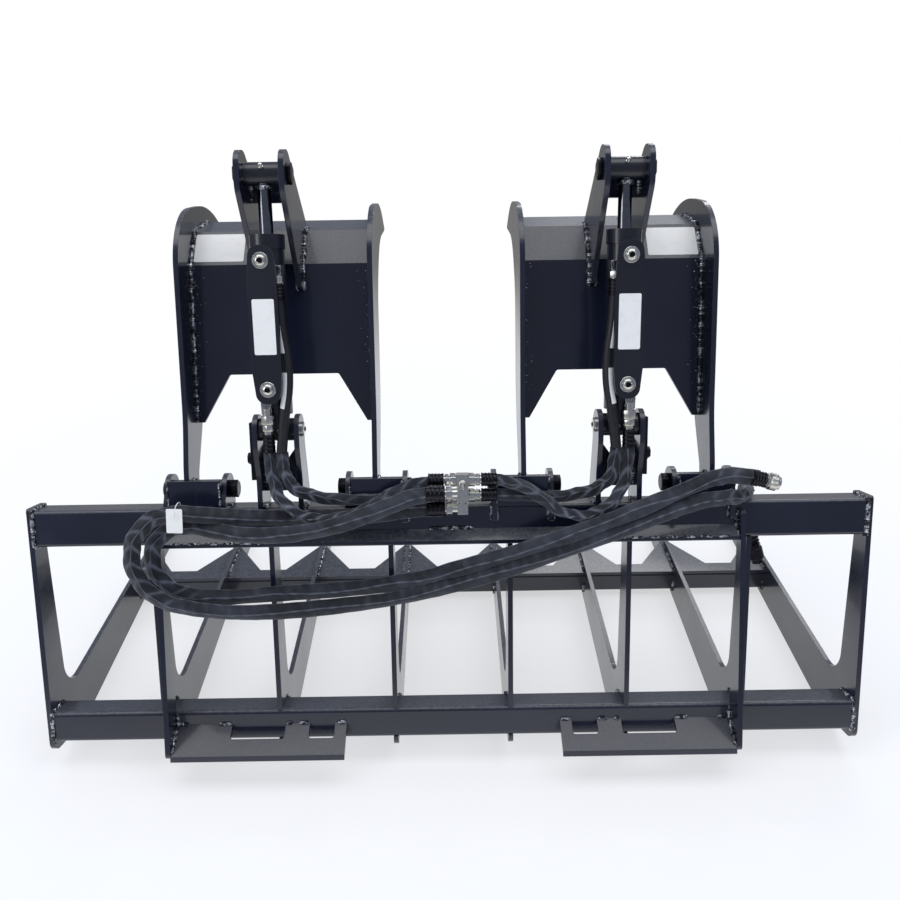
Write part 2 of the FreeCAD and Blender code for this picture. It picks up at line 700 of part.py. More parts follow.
def barrel_piece(side):
    tube = rod_between("Barrel_" + side, vec(0, 0, size("barrel_foot")), vec(0, 0, size("barrel_length")),
                       "barrel_diameter")
    neck = rod_between("BarrelNeck_" + side, vec(0, 0, 0), vec(0, 0, size("barrel_foot") + 1), "rod_eye")
    eye = rod_between("BarrelEye_" + side, vec(-size("eye_length") / 2, 0, 0),
                      vec(size("eye_length") / 2, 0, 0), "barrel_eye")
    whole = fuse("BarrelWhole_" + side, [tube, neck, eye])
    bore = doc.addObject("Part::Cylinder", "BarrelBore_" + side)
    bore.setExpression("Radius", "Sizes.barrel_bore / 2")
    bore.setExpression("Height", "Sizes.barrel_length")
    bore.Placement.Base = vec(0, 0, size("barrel_foot") + size("barrel_cap"))
    pin_bore = doc.addObject("Part::Cylinder", "BarrelPinBore_" + side)
    pin_bore.setExpression("Radius", "Sizes.cylinder_pin / 2 + Sizes.pin_clearance")
    pin_bore.setExpression("Height", "Sizes.eye_length + 2")
    pin_bore.Placement = FreeCAD.Placement(vec(-size("eye_length") / 2 - 1, 0, 0),
                                           FreeCAD.Rotation(Z_AXIS, X_AXIS))
    both = fuse("BarrelBores_" + side, [bore, pin_bore])
    cut = doc.addObject("Part::Cut", "BarrelCut_" + side)
    cut.Base = whole
    cut.Tool = both
    return cut


def rod_pieces(side):
    """The rod with its piston and bored cross tube, and the middle of the rod pin in that bore."""
    eye_r = size("rod_eye") / 2
    half = size("eye_length") / 2
    floor = size("barrel_foot") + size("barrel_cap")
    low = floor + size("piston_clearance") + size("piston_length") / 2
    shaft = rod_between("Rod_" + side, vec(0, 0, low), vec(0, 0, pin_to_pin - eye_r / 2), "rod_diameter")
    piston = doc.addObject("Part::Cylinder", "Piston_" + side)
    piston.setExpression("Radius", "Sizes.barrel_bore / 2 - Sizes.pin_clearance")
    piston.setExpression("Height", "Sizes.piston_length")
    piston.Placement.Base = vec(0, 0, low - size("piston_length") / 2)
    left_end = vec(-half, 0, pin_to_pin)
    right_end = vec(half, 0, pin_to_pin)
    eye = rod_between("RodEye_" + side, left_end, right_end, "rod_eye")
    bore = doc.addObject("Part::Cylinder", "RodEyeBore_" + side)
    bore.setExpression("Radius", "Sizes.cylinder_pin / 2 + Sizes.pin_clearance")
    bore.setExpression("Height", "Sizes.eye_length + 2")
    bore.Placement = FreeCAD.Placement(left_end - X_AXIS, FreeCAD.Rotation(Z_AXIS, X_AXIS))
    rod = doc.addObject("Part::Cut", "RodCut_" + side)
    rod.Base = fuse("RodWhole_" + side, [shaft, piston, eye])
    rod.Tool = bore
    core = rod_between("RodPinCore_" + side, left_end, right_end, "cylinder_pin")
    return [rod, core]


guard_end = size("barrel_length") + size("guard_past_barrel")
upper_port = size("barrel_length") - size("upper_port_drop")


def guard_piece(side):
    """The long guard strip with round ends, standing off the barrel towards the loader."""
    half = size("guard_width") / 2
    low = size("guard_start")
    high = guard_end
    shoulder = size("guard_shoulder")
    body = doc.addObject("PartDesign::Body", "Guard_" + side)
    pad = body.newObject("PartDesign::Pad", "GuardPad_" + side)
    taper = half - 6
    inset = size("guard_bolt_inset")
    holes = [circle(0, low + inset, 6.3), circle(0, high - inset, 6.3)]
    pad.Profile = sketch_on(body, "XZ_Plane", round_corners([
        (-taper, low, taper - 1), (taper, low, taper - 1), (half, low + shoulder, shoulder),
        (half, high - shoulder, shoulder), (taper, high, taper - 1), (-taper, high, taper - 1),
        (-half, high - shoulder, shoulder), (-half, low + shoulder, shoulder)]) + holes)
    pad.setExpression("Length", "Sizes.guard_plate")
    body.Placement.Base = vec(0, -size("guard_offset"), 0)
    return body


def guard_bolts(side):
    low = size("guard_start") + size("guard_bolt_inset")
    high = guard_end - size("guard_bolt_inset")
    face = -size("guard_offset") - size("guard_plate")
    bolts = []
    for place, z in (("Low", low), ("High", high)):
        washer = rod_between("Washer%s_%s" % (place, side), vec(0, face - 0.1, z),
                             vec(0, face - 3, z), "washer_diameter")
        head = doc.addObject("Part::Cylinder", "BoltHead%s_%s" % (place, side))
        head.Radius = 9
        head.Height = 7
        head.Placement = FreeCAD.Placement(vec(0, face - 2, z), FreeCAD.Rotation(Z_AXIS, -Y_AXIS))
        shank = doc.addObject("Part::Cylinder", "BoltShank%s_%s" % (place, side))
        shank.Radius = 6
        shank.Height = size("guard_plate") + 3
        shank.Placement = FreeCAD.Placement(vec(0, face - 2, z), FreeCAD.Rotation(Z_AXIS, Y_AXIS))
        bolts.append(fuse("GuardBolt%s_%s" % (place, side), [washer, head, shank]))
    return bolts


def guard_posts(side):
    """Round stand-offs welded to the barrel, with a blind hole for each guard bolt."""
    low = size("guard_start") + size("guard_bolt_inset")
    high = guard_end - size("guard_bolt_inset")
    posts = []
    for place, z in (("Low", low), ("High", high)):
        start = vec(0, -size("guard_offset"), z)
        end = vec(0, -size("barrel_diameter") / 2 - 0.1, z)
        post = rod_between("Post%s_%s" % (place, side), start, end, "guard_post")
        hole = doc.addObject("Part::Cylinder", "PostHole%s_%s" % (place, side))
        hole.Radius = 6.2
        hole.Height = 12
        hole.Placement = FreeCAD.Placement(start, FreeCAD.Rotation(Z_AXIS, Y_AXIS))
        cut = doc.addObject("Part::Cut", "PostCut%s_%s" % (place, side))
        cut.Base = post
        cut.Tool = hole
        posts.append(cut)
    return posts


def block(name, low, high):
    """A square-edged forged fitting body between two opposite corners."""
    box = doc.addObject("Part::Box", name)
    box.Length = high.x - low.x
    box.Width = high.y - low.y
    box.Height = high.z - low.z
    box.Placement.Base = low
    return box


def fittings(side, sign):
    """Two elbows on the rear of the barrel, each with a ferrule pointing down: one by the base
    cap and one, set towards the middle of the grapple, near the gland."""
    half = size("elbow_body") / 2
    barrel_r = size("barrel_diameter") / 2
    hose_y = -size("hose_set_back")
    pair = []
    for place, x, z, tail in (("Low", sign * size("low_port_x"), size("port_height"), size("low_tail")),
                              ("High", -sign * size("port_offset"), upper_port, size("high_tail"))):
        nearest = max(abs(x) - half, 0)
        seat = -math.sqrt(barrel_r ** 2 - nearest ** 2) - 0.1
        body = block("%sElbow_%s" % (place, side), vec(x - half, hose_y - half, z - half),
                     vec(x + half, seat, z + half))
        ferrule = rod_between("%sTail_%s" % (place, side), vec(x, hose_y, z),
                              vec(x, hose_y, z - tail + 0.4), "ferrule_diameter")
        pair.append(fuse("%sFitting_%s" % (place, side), [body, ferrule]))
    return pair


for side, sign in SIDES:
    cylinder_node("%s_barrel" % side, [barrel_piece(side)], sign)
    gland_start = size("barrel_length") + 0.1
    gland = rod_between("Gland_" + side, vec(0, 0, gland_start),
                        vec(0, 0, gland_start + size("gland_length")), "gland_diameter", "rod_diameter")
    cylinder_node("%s_gland" % side, [gland], sign)
    cylinder_node("%s_guard" % side, [guard_piece(side)], sign)
    cylinder_node("%s_guard_bolts" % side, guard_bolts(side), sign)
    cylinder_node("%s_guard_posts" % side, guard_posts(side), sign)
    cylinder_node("%s_port_fittings" % side, fittings(side, sign), sign)
    cylinder_node("%s_rod" % side, rod_pieces(side), sign)


# the hoses: straight runs joined by tangent arcs, each through points chosen by hand
def hose(label, diameter, points):
    """A round hose along a route; it prints its tightest bend and its length."""
    route = [vec(*p) for p in points]
    radius = size(diameter) / 2
    edges = []
    last = route[0]
    bends = []
    for a, b, c in zip(route, route[1:], route[2:]):
        back = a - b
        ahead = c - b
        turn = math.pi - back.getAngle(ahead)
        bend = 0.45 * min(back.Length, ahead.Length) / math.tan(turn / 2)
        setback = bend * math.tan(turn / 2)
        back.normalize()
        ahead.normalize()
        start = b + back * setback
        end = b + ahead * setback
        middle = b + (back + ahead).normalize() * (bend / math.cos(turn / 2) - bend)
        edges.append(Part.LineSegment(last, start).toShape())
        edges.append(Part.Arc(start, middle, end).toShape())
        bends.append(bend)
        last = end
    edges.append(Part.LineSegment(last, route[-1]).toShape())
    path = Part.Wire(edges)
    profile = Part.Wire(Part.Circle(route[0], route[1] - route[0], radius).toShape())
    tube = path.makePipeShell([profile], True, True)
    ratio = tube.Volume / (math.pi * radius ** 2 * path.Length)
    print("%s: length %.0f, tightest bend %.0f, volume ratio %.4f" % (label, path.Length, min(bends), ratio))
    piece = doc.addObject("Part::Feature", "Hose_" + label)
    piece.Shape = tube
    node(label, [piece])


TEE_X = 25.0
TEE_HALF = 38.0
upper_tee = vec(TEE_X, -30, frame_top + 57)
lower_tee = vec(TEE_X, -27, frame_top + 26)
tee_left = TEE_X - TEE_HALF
tee_right = TEE_X + TEE_HALF
LOOP_A = {
    "left": [(-318, -52, 530), (-262, -54, 498), (-178, -53, 507), (-114, -50, 548)],
    "right": [(318, -52, 530), (270, -54, 498), (212, -53, 506), (166, -50, 548)],
}
LOOP_B = {side: [(sign * 280, -32, 545), (sign * 200, -24, 531)] for side, sign in SIDES}
for side, sign in SIDES:
    place = along_cylinder(sign)
    high_x = -sign * size("port_offset")
    port_x = sign * size("low_port_x")
    hose_x = -sign * size("low_hose_x")
    hose_y = -size("hose_set_back")
    low_end = size("port_height") - size("low_tail")
    high_end = upper_port - size("high_tail")
    tee_end = tee_left if sign < 0 else tee_right
    hose("%s_barrel_hose" % side, "hose_diameter", [tuple(place.multVec(vec(*p))) for p in (
        (high_x, hose_y, high_end), (high_x, hose_y, high_end - size("hose_straight")),
        (high_x - sign, hose_y, size("hose_over_post")), (high_x + sign, hose_y, size("hose_under_post")),
        (hose_x, hose_y, size("hose_low_bend")), (hose_x, hose_y, low_end))])
    hose("%s_hose_a" % side, "hose_diameter", [
        tuple(place.multVec(vec(port_x, hose_y, low_end))),
        tuple(place.multVec(vec(port_x, hose_y, low_end - size("hose_drop"))))] + LOOP_A[side] + [
        (tee_end + sign * 44, upper_tee.y, upper_tee.z), (tee_end, upper_tee.y, upper_tee.z)])
    hose("%s_hose_b" % side, "hose_diameter", [
        tuple(place.multVec(vec(hose_x, hose_y, low_end))),
        tuple(place.multVec(vec(hose_x, hose_y, low_end - size("hose_drop"))))] + LOOP_B[side] + [
        (tee_end + sign * 88, -24, 537), (tee_end + sign * 36, lower_tee.y, lower_tee.z),
        (tee_end, lower_tee.y, lower_tee.z)])

supply_a = [
    (tee_left, -58, 550), (-58, -58, 550), (-128, -77, 526), (-219, -79, 492), (-330, -74, 475),
    (-425, -66, 480), (-515, -54, 500), (-570, -58, 468), (-576, -58, 405), (-526, -56, 355),
    (-440, -46, 345), (-337, -32, 349), (-218, -27, 352), (-99, -27, 364), (20, -32, 395),
    (139, -58, 436), (259, -68, 478), (370, -64, 519), (453, -52, 552), (535, -42, 580),
    (592, -42, 566)]
supply_b = [
    (tee_left, -27, 513), (-72, -27, 515), (-140, -26, 502), (-226, -27, 500), (-330, -30, 500),
    (-431, -56, 511), (-554, -90, 532), (-611, -90, 453), (-575, -86, 358), (-460, -74, 326),
    (-337, -40, 313), (-219, -27, 319), (-100, -27, 333), (19, -32, 364), (139, -56, 406),
    (259, -62, 449), (371, -58, 490), (440, -52, 515), (498, -50, 530), (548, -44, 530),
    (586, -8, 528), (608, 50, 528), (616, 95, 527), (630, 140, 503), (644, 160, 452),
    (658, 160, 404)]
hose("supply_hose_a", "long_hose_diameter", supply_a)
hose("supply_hose_b", "long_hose_diameter", supply_b)

# the tees that join the cylinder hoses to the supply hoses
tees = []
tee_half = size("tee_body") / 2
for name, centre, exit_point in (("Upper", upper_tee, supply_a[0]), ("Lower", lower_tee, supply_b[0])):
    reach = vec(tee_half, tee_half, tee_half)
    run = rod_between("TeeRun" + name, vec(tee_left + 0.4, centre.y, centre.z),
                      vec(tee_right - 0.4, centre.y, centre.z), "ferrule_diameter")
    body = block("TeeBody" + name, centre - reach, centre + reach)
    corner = vec(TEE_X, exit_point[1], exit_point[2])
    branch = rod_between("TeeBranch" + name, centre, corner, "tee_branch")
    reach = reach * 0.85
    elbow = block("TeeElbow" + name, corner - reach, corner + reach)
    outlet = rod_between("TeeOutlet" + name, corner, vec(exit_point[0] + 0.4, exit_point[1], exit_point[2]),
                         "ferrule_diameter")
    tees.append(fuse("Tee" + name, [run, body, branch, elbow, outlet]))
node("tee_fittings", tees)


def coupler(label, start, direction, length):
    """A quick coupler: crimped collar, body and a wider locking sleeve."""
    along = direction.normalize()
    collar = rod_between("Collar_" + label, start + along * 0.4, start + along * (length * 0.4), "hose_diameter")
    body = rod_between("CouplerBody_" + label, start + along * (length * 0.35), start + along * length,
                       "rod_diameter")
    sleeve = rod_between("CouplerSleeve_" + label, start + along * (length * 0.5),
                         start + along * (length * 0.85), "coupler_diameter")
    node(label, [fuse("CouplerWhole_" + label, [collar, body, sleeve])])


last_a = vec(*supply_a[-1])
last_b = vec(*supply_b[-1])
coupler("coupler_a", last_a, last_a - vec(*supply_a[-2]), size("short_coupler"))
coupler("coupler_b", last_b, last_b - vec(*supply_b[-2]), size("long_coupler"))

doc.recompute()
for item in doc.Objects:
    if "Invalid" in item.State or "Error" in item.State:
        raise RuntimeError("%s failed: %s" % (item.Label, item.State))
os.makedirs("parts", exist_ok=True)
for item in nodes:
    if item.Shape.isNull() or not item.Shape.isValid():
        raise RuntimeError("%s has a bad shape" % item.Label)
    item.Shape.exportStep(os.path.join("parts", item.Label + ".step"))
    print("%s: %d solids, %.1f cm3" % (item.Label, len(item.Shape.Solids), item.Shape.Volume / 1000))
print("%d sub-parts" % len(nodes))
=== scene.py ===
# %% [markdown]
# A root grapple for a skid-steer loader, seen from the loader's side.
#
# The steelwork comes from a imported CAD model, which is loaded as a fixed frame. This script gives
# it the finishes that the real grapple has, and adds what CAD leaves plain: hoses in woven
# sleeves, weld beads, nuts and bolts, crimped fittings and blank stickers.

# %% Load the frame
import math
import random

import bmesh
import bpy
from mathutils import Matrix, Vector
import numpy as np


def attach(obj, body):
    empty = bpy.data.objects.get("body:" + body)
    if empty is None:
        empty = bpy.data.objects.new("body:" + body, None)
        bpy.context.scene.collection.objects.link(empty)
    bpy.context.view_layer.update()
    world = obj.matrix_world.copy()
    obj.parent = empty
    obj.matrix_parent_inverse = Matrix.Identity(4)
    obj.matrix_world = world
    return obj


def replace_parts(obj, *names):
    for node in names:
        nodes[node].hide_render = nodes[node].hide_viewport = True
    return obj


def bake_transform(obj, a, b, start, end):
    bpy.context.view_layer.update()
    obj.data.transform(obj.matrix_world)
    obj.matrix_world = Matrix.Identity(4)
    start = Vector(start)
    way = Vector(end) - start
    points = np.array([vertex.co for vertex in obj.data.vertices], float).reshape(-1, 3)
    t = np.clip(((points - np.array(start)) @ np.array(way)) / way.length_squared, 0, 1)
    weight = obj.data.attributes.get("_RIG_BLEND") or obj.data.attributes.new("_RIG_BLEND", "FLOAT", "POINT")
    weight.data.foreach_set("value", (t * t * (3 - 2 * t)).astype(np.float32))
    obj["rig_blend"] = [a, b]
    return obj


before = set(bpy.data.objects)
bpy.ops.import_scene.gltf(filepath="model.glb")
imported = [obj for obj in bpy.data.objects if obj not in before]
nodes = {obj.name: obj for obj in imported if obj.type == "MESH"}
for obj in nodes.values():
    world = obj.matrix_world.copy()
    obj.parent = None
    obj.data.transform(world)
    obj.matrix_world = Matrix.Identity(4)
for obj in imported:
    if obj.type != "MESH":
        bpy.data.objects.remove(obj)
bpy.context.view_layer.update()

# %% [markdown]
# The grapple was drawn standing up straight and then leaned forward until its tines were level.
# The same directions are handy here: across, forward from the rear face of the beams, and up along
# the back frame, all in millimetres. One matrix turns such a place into the row frame in metres,
# and a second one does the same for places beside a hydraulic cylinder.

# %% Places in the leaning frame
MM = 0.001
TINE_ANGLE = math.radians(20.6)
HEEL_LENGTH = 140
TINE_LENGTH = 680
LOADER_DEPTH = 54
LOADER_FOOT = 8
PLATE = 10
BEAM = 63.5
BOTTOM_BEAM = 23
TOP_BEAM = 439.5
FRAME_TOP = TOP_BEAM + 74
HINGE = Vector((0, 30, FRAME_TOP + 34.5))
BASE_PIN = Vector((0, 0, FRAME_TOP + 156.5))
ROD_PIN = Vector((0, -20, FRAME_TOP + 629.5))
CYLINDER_X = 331
SIDES = (("left", -1), ("right", 1))

lean = Matrix.Rotation(-TINE_ANGLE, 4, "X")
heel_low = (lean @ Vector((0, HEEL_LENGTH, 0))).z
rearmost = (lean @ Vector((0, -LOADER_DEPTH, LOADER_FOOT))).y
foremost = (lean @ Vector((0, HEEL_LENGTH, 0))).y + TINE_LENGTH
IN_FRAME = Matrix.Scale(MM, 4) @ Matrix.Translation((0, -(rearmost + foremost) / 2, -heel_low)) @ lean
cylinder_line = ROD_PIN - BASE_PIN
cylinder_turn = Matrix.Rotation(math.atan2(-cylinder_line.y, cylinder_line.z), 4, "X")
BESIDE = {sign: IN_FRAME @ Matrix.Translation(BASE_PIN + Vector((sign * CYLINDER_X, 0, 0))) @ cylinder_turn
          for sign in (-1, 1)}


def leaned(x, forward, up):
    """A place in the frame's own directions, in millimetres, as metres in the row frame."""
    return IN_FRAME @ Vector((x, forward, up))


def on_cylinder(sign, x, y, z):
    """A place beside one cylinder: z runs along it from the base pin."""
    return BESIDE[sign] @ Vector((x, y, z))


print("claw hinge at", [round(c, 3) for c in leaned(*HINGE)])

# %% [markdown]
# The camera stands behind the grapple at about chest height and looks down at it a little, as the
# photographer did. Its place was worked out from the ends of the two beams. The floor and the sky
# are white, and one wide soft lamp overhead gives the gloss paint its long pale reflections.

# %% Camera
PHOTO_SIDE = 900
FOCAL_PIXELS = 800
CAMERA_PITCH = math.radians(9.2)
CAMERA_ROLL = math.radians(0.9)
camera_data = bpy.data.cameras.new("camera")
camera_data.sensor_width = 36
camera_data.lens = 36 * FOCAL_PIXELS / PHOTO_SIDE
camera = bpy.data.objects.new("camera", camera_data)
bpy.context.scene.collection.objects.link(camera)
looks_down = math.pi / 2 - CAMERA_PITCH - TINE_ANGLE
turn = Matrix.Rotation(looks_down, 4, "X") @ Matrix.Rotation(-CAMERA_ROLL, 4, "Z")
camera.matrix_world = Matrix.Translation(leaned(2, -1543, 874)) @ turn
bpy.context.scene.camera = camera
bpy.context.scene.view_settings.view_transform = "Standard"


# %% Small helpers for materials
def colour(code):
    """A colour written as an sRGB hex value, turned to the linear one that a shader wants."""
    parts = [int(code[i:i + 2], 16) / 255 for i in (1, 3, 5)]
    return (*[p / 12.92 if p <= 0.04045 else ((p + 0.055) / 1.055) ** 2.4 for p in parts], 1)


def add(tree, kind, inputs=(), **settings):
    """Adds one node, with its settings, and fills or links its inputs by name or number."""
    made = tree.nodes.new(kind)
    for key, value in settings.items():
        setattr(made, key, value)
    for key, value in dict(inputs).items():
        if isinstance(value, bpy.types.NodeSocket):
            tree.links.new(value, made.inputs[key])
        else:
            made.inputs[key].default_value = value
    return made


def new_material(name):
    """An empty node material and its tree."""
    made = bpy.data.materials.new(name)
    made.use_nodes = True
    made.node_tree.nodes.clear()
    return made, made.node_tree


def finish_material(tree, shader):
    out = tree.nodes.new("ShaderNodeOutputMaterial")
    tree.links.new(shader, out.inputs["Surface"])


# %% Floor, sky and lamps
FLOOR_WHITE = "#f7f7f7"
FAR_FLOOR = 0.30      # how bright the distant floor looks in the paint's reflections
SHADOW_LIFT = 0.58    # how much of the floor is plain white even in the shadow, as on a cut-out photograph
floor_mesh = bpy.data.meshes.new("floor")
bm = bmesh.new()
bmesh.ops.create_grid(bm, x_segments=1, y_segments=1, size=40)
bm.to_mesh(floor_mesh)
bm.free()
floor = bpy.data.objects.new("floor", floor_mesh)
bpy.context.scene.collection.objects.link(floor)
floor.location.z = -0.0005
floor_paint, tree = new_material("white_floor")
matt = add(tree, "ShaderNodeBsdfDiffuse", {"Color": colour(FLOOR_WHITE)})
place = add(tree, "ShaderNodeNewGeometry").outputs["Position"]
far = add(tree, "ShaderNodeVectorMath", {0: place}, operation="LENGTH")
fade = add(tree, "ShaderNodeMapRange", {0: far.outputs["Value"], 1: 1.0, 2: 2.2}, interpolation_type="SMOOTHSTEP")
light_path = add(tree, "ShaderNodeLightPath")
seen = add(tree, "ShaderNodeMath", {0: light_path.outputs["Is Camera Ray"],
                                    1: light_path.outputs["Is Glossy Ray"]}, operation="MAXIMUM")
least = add(tree, "ShaderNodeMapRange", {0: fade.outputs[0], 1: 0.0, 2: 1.0, 3: SHADOW_LIFT, 4: 1.0})
share = add(tree, "ShaderNodeMath", {0: least.outputs[0], 1: seen.outputs[0]}, operation="MULTIPLY")
mirrored = add(tree, "ShaderNodeMapRange", {0: far.outputs["Value"], 1: 1.2, 2: 3.4, 3: 1.0, 4: FAR_FLOOR},
               interpolation_type="SMOOTHSTEP")
glow = add(tree, "ShaderNodeMapRange", {0: light_path.outputs["Is Glossy Ray"], 1: 0.0, 2: 1.0, 3: 1.0,
                                        4: mirrored.outputs[0]})
paper = add(tree, "ShaderNodeEmission", {"Color": (1, 1, 1, 1), "Strength": glow.outputs[0]})
shader = add(tree, "ShaderNodeMixShader", {0: share.outputs[0], 1: matt.outputs[0], 2: paper.outputs[0]})
finish_material(tree, shader.outputs[0])
floor_mesh.materials.append(floor_paint)

world = bpy.data.worlds.new("studio")
bpy.context.scene.world = world
world.use_nodes = True
tree = world.node_tree
tree.nodes.clear()
light_path = add(tree, "ShaderNodeLightPath")
seen = add(tree, "ShaderNodeMath", {0: light_path.outputs["Is Camera Ray"],
                                    1: light_path.outputs["Is Transmission Ray"]}, operation="MAXIMUM")
level = add(tree, "ShaderNodeMapRange", {0: light_path.outputs["Is Glossy Ray"], 1: 0.0, 2: 1.0, 3: 0.78, 4: 0.30})
soft = add(tree, "ShaderNodeBackground", {"Color": colour("#dbe6ff"), "Strength": level.outputs[0]})
white = add(tree, "ShaderNodeBackground", {"Color": (1, 1, 1, 1), "Strength": 1.0})
both = add(tree, "ShaderNodeMixShader", {0: seen.outputs[0], 1: soft.outputs[0], 2: white.outputs[0]})
out = tree.nodes.new("ShaderNodeOutputWorld")
tree.links.new(both.outputs[0], out.inputs["Surface"])


def soft_lamp(name, place, aim, size, power):
    data = bpy.data.lights.new(name, "AREA")
    data.shape = "RECTANGLE"
    data.size, data.size_y = size
    data.energy = power
    lamp = bpy.data.objects.new(name, data)
    bpy.context.scene.collection.objects.link(lamp)
    lamp.location = place
    lamp.rotation_euler = (Vector(aim) - Vector(place)).to_track_quat("-Z", "Y").to_euler()
    lamp.visible_camera = False
    return lamp


soft_lamp("ceiling_lamp", (0, -0.1, 4.0), (0, 0, 0), (5.6, 2.0), 70)
soft_lamp("side_lamp", (-3.4, -2.0, 2.4), (0, 0, 0.7), (1.2, 2.2), 30)
soft_lamp("front_lamp", (1.6, 3.4, 2.6), (0, 0, 0.6), (2.4, 0.8), 34)

# %% [markdown]
# Nearly all of the steel is one finish: gloss black enamel sprayed over hot-rolled plate. It is so
# dark that the eye reads it by what it reflects, so the work is in the surface: a fine
# orange-peel ripple from the spray gun, slow waves from the rolled plate, edges that the paint
# rounds over, and a pale film on what faces up, which is partly dust and partly a painted sheen.


# %% Gloss black enamel
def enamel(name, deep, pale, gloss, edge_mm=1.6, dust_and_sheen=0.26):
    """Black enamel: it shows its edges as thin bright lines, because paint rounds them."""
    made, tree = new_material(name)
    where = add(tree, "ShaderNodeTexCoord").outputs["Object"]
    slow = add(tree, "ShaderNodeTexNoise", {"Vector": where, "Scale": 1 / 0.18, "Detail": 3.0})
    peel = add(tree, "ShaderNodeTexNoise", {"Vector": where, "Scale": 1 / 0.006, "Detail": 2.0})
    wave = add(tree, "ShaderNodeTexNoise", {"Vector": where, "Scale": 1 / 0.07, "Detail": 1.0})
    tint = add(tree, "ShaderNodeMix", {"Factor": slow.outputs["Fac"], 6: colour(deep), 7: colour(pale)},
               data_type="RGBA")
    normal = add(tree, "ShaderNodeNewGeometry").outputs["Normal"]
    upward = add(tree, "ShaderNodeSeparateXYZ", {0: normal})
    # Faces that look up turn paler and rougher: partly a film of dust, partly a painted sheen for the light they catch.
    upward_dust_and_sheen = add(tree, "ShaderNodeMapRange", {0: upward.outputs["Z"], 1: 0.6, 2: 1.0, 3: 0.0, 4: dust_and_sheen})
    specks = add(tree, "ShaderNodeMapRange", {0: peel.outputs["Fac"], 1: 0.35, 2: 0.75, 3: 0.35, 4: 1.0})
    dust_and_sheen_film = add(tree, "ShaderNodeMath", {0: upward_dust_and_sheen.outputs[0], 1: specks.outputs[0]}, operation="MULTIPLY")
    dust_and_sheen_tint = add(tree, "ShaderNodeMix", {"Factor": dust_and_sheen_film.outputs[0], 6: tint.outputs[2], 7: colour("#a9aaa8")},
                data_type="RGBA")
    rough = add(tree, "ShaderNodeMapRange", {0: slow.outputs["Fac"], 1: 0.3, 2: 0.7, 3: gloss, 4: gloss + 0.1})
    rougher = add(tree, "ShaderNodeMath", {0: rough.outputs[0], 1: dust_and_sheen_film.outputs[0]}, operation="ADD")
    rounded = add(tree, "ShaderNodeBevel", {"Radius": edge_mm * MM}, samples=6)
    rippled = add(tree, "ShaderNodeBump", {"Height": wave.outputs["Fac"], "Strength": 0.12, "Distance": 0.004,
                                           "Normal": rounded.outputs[0]})
    peeled = add(tree, "ShaderNodeBump", {"Height": peel.outputs["Fac"], "Strength": 0.12, "Distance": 0.0006,
                                          "Normal": rippled.outputs[0]})
    shader = add(tree, "ShaderNodeBsdfPrincipled", {
        "Base Color": dust_and_sheen_tint.outputs[2], "Roughness": rougher.outputs[0], "Normal": peeled.outputs[0],
        "IOR": 1.52, "Coat Weight": 0.4, "Coat Roughness": 0.08})
    finish_material(tree, shader.outputs[0])
    return made


frame_enamel = enamel("gloss_black_enamel", "#0c0e1b", "#1a2034", 0.20)
wiped_low_sheen_enamel = enamel("gloss_black_enamel_wiped_low_sheen", "#0c0e1b", "#1a2034", 0.24, dust_and_sheen=0.07)
cylinder_enamel = enamel("satin_black_enamel", "#0b0c17", "#141725", 0.30, edge_mm=1.0, dust_and_sheen=0.06)


# %% Bare and plated metals
def metal(name, base, roughness, grain_mm, edge_mm=0.5, bump=0.05, low="#5c5a56"):
    """A metal with fine marks; plating and polish differ by colour, roughness and grain size."""
    made, tree = new_material(name)
    where = add(tree, "ShaderNodeTexCoord").outputs["Object"]
    grain = add(tree, "ShaderNodeTexNoise", {"Vector": where, "Scale": 1 / (grain_mm * MM), "Detail": 3.0})
    rough = add(tree, "ShaderNodeMapRange", {0: grain.outputs["Fac"], 1: 0.25, 2: 0.75,
                                             3: roughness * 0.7, 4: roughness * 1.4})
    tone = add(tree, "ShaderNodeMapRange", {0: grain.outputs["Fac"], 1: 0.3, 2: 0.7, 3: 0.75, 4: 1.0})
    shade = add(tree, "ShaderNodeMix", {"Factor": tone.outputs[0], 6: colour(low), 7: colour(base)},
                data_type="RGBA")
    rounded = add(tree, "ShaderNodeBevel", {"Radius": edge_mm * MM}, samples=4)
    marked = add(tree, "ShaderNodeBump", {"Height": grain.outputs["Fac"], "Strength": bump, "Distance": 0.0005,
                                          "Normal": rounded.outputs[0]})
    shader = add(tree, "ShaderNodeBsdfPrincipled", {
        "Base Color": shade.outputs[2], "Metallic": 1.0, "Roughness": rough.outputs[0],
        "Normal": marked.outputs[0]})
    finish_material(tree, shader.outputs[0])
    return made


bright_zinc = metal("bright_zinc_plate", "#e2e1da", 0.24, 3.0, low="#8a8984")
hard_chrome = metal("hard_chrome_rod", "#7c7e85", 0.14, 8.0, bump=0.01, low="#3c3d43")
dark_steel = metal("oiled_dark_steel", "#35343a", 0.32, 3.0, low="#18181c")


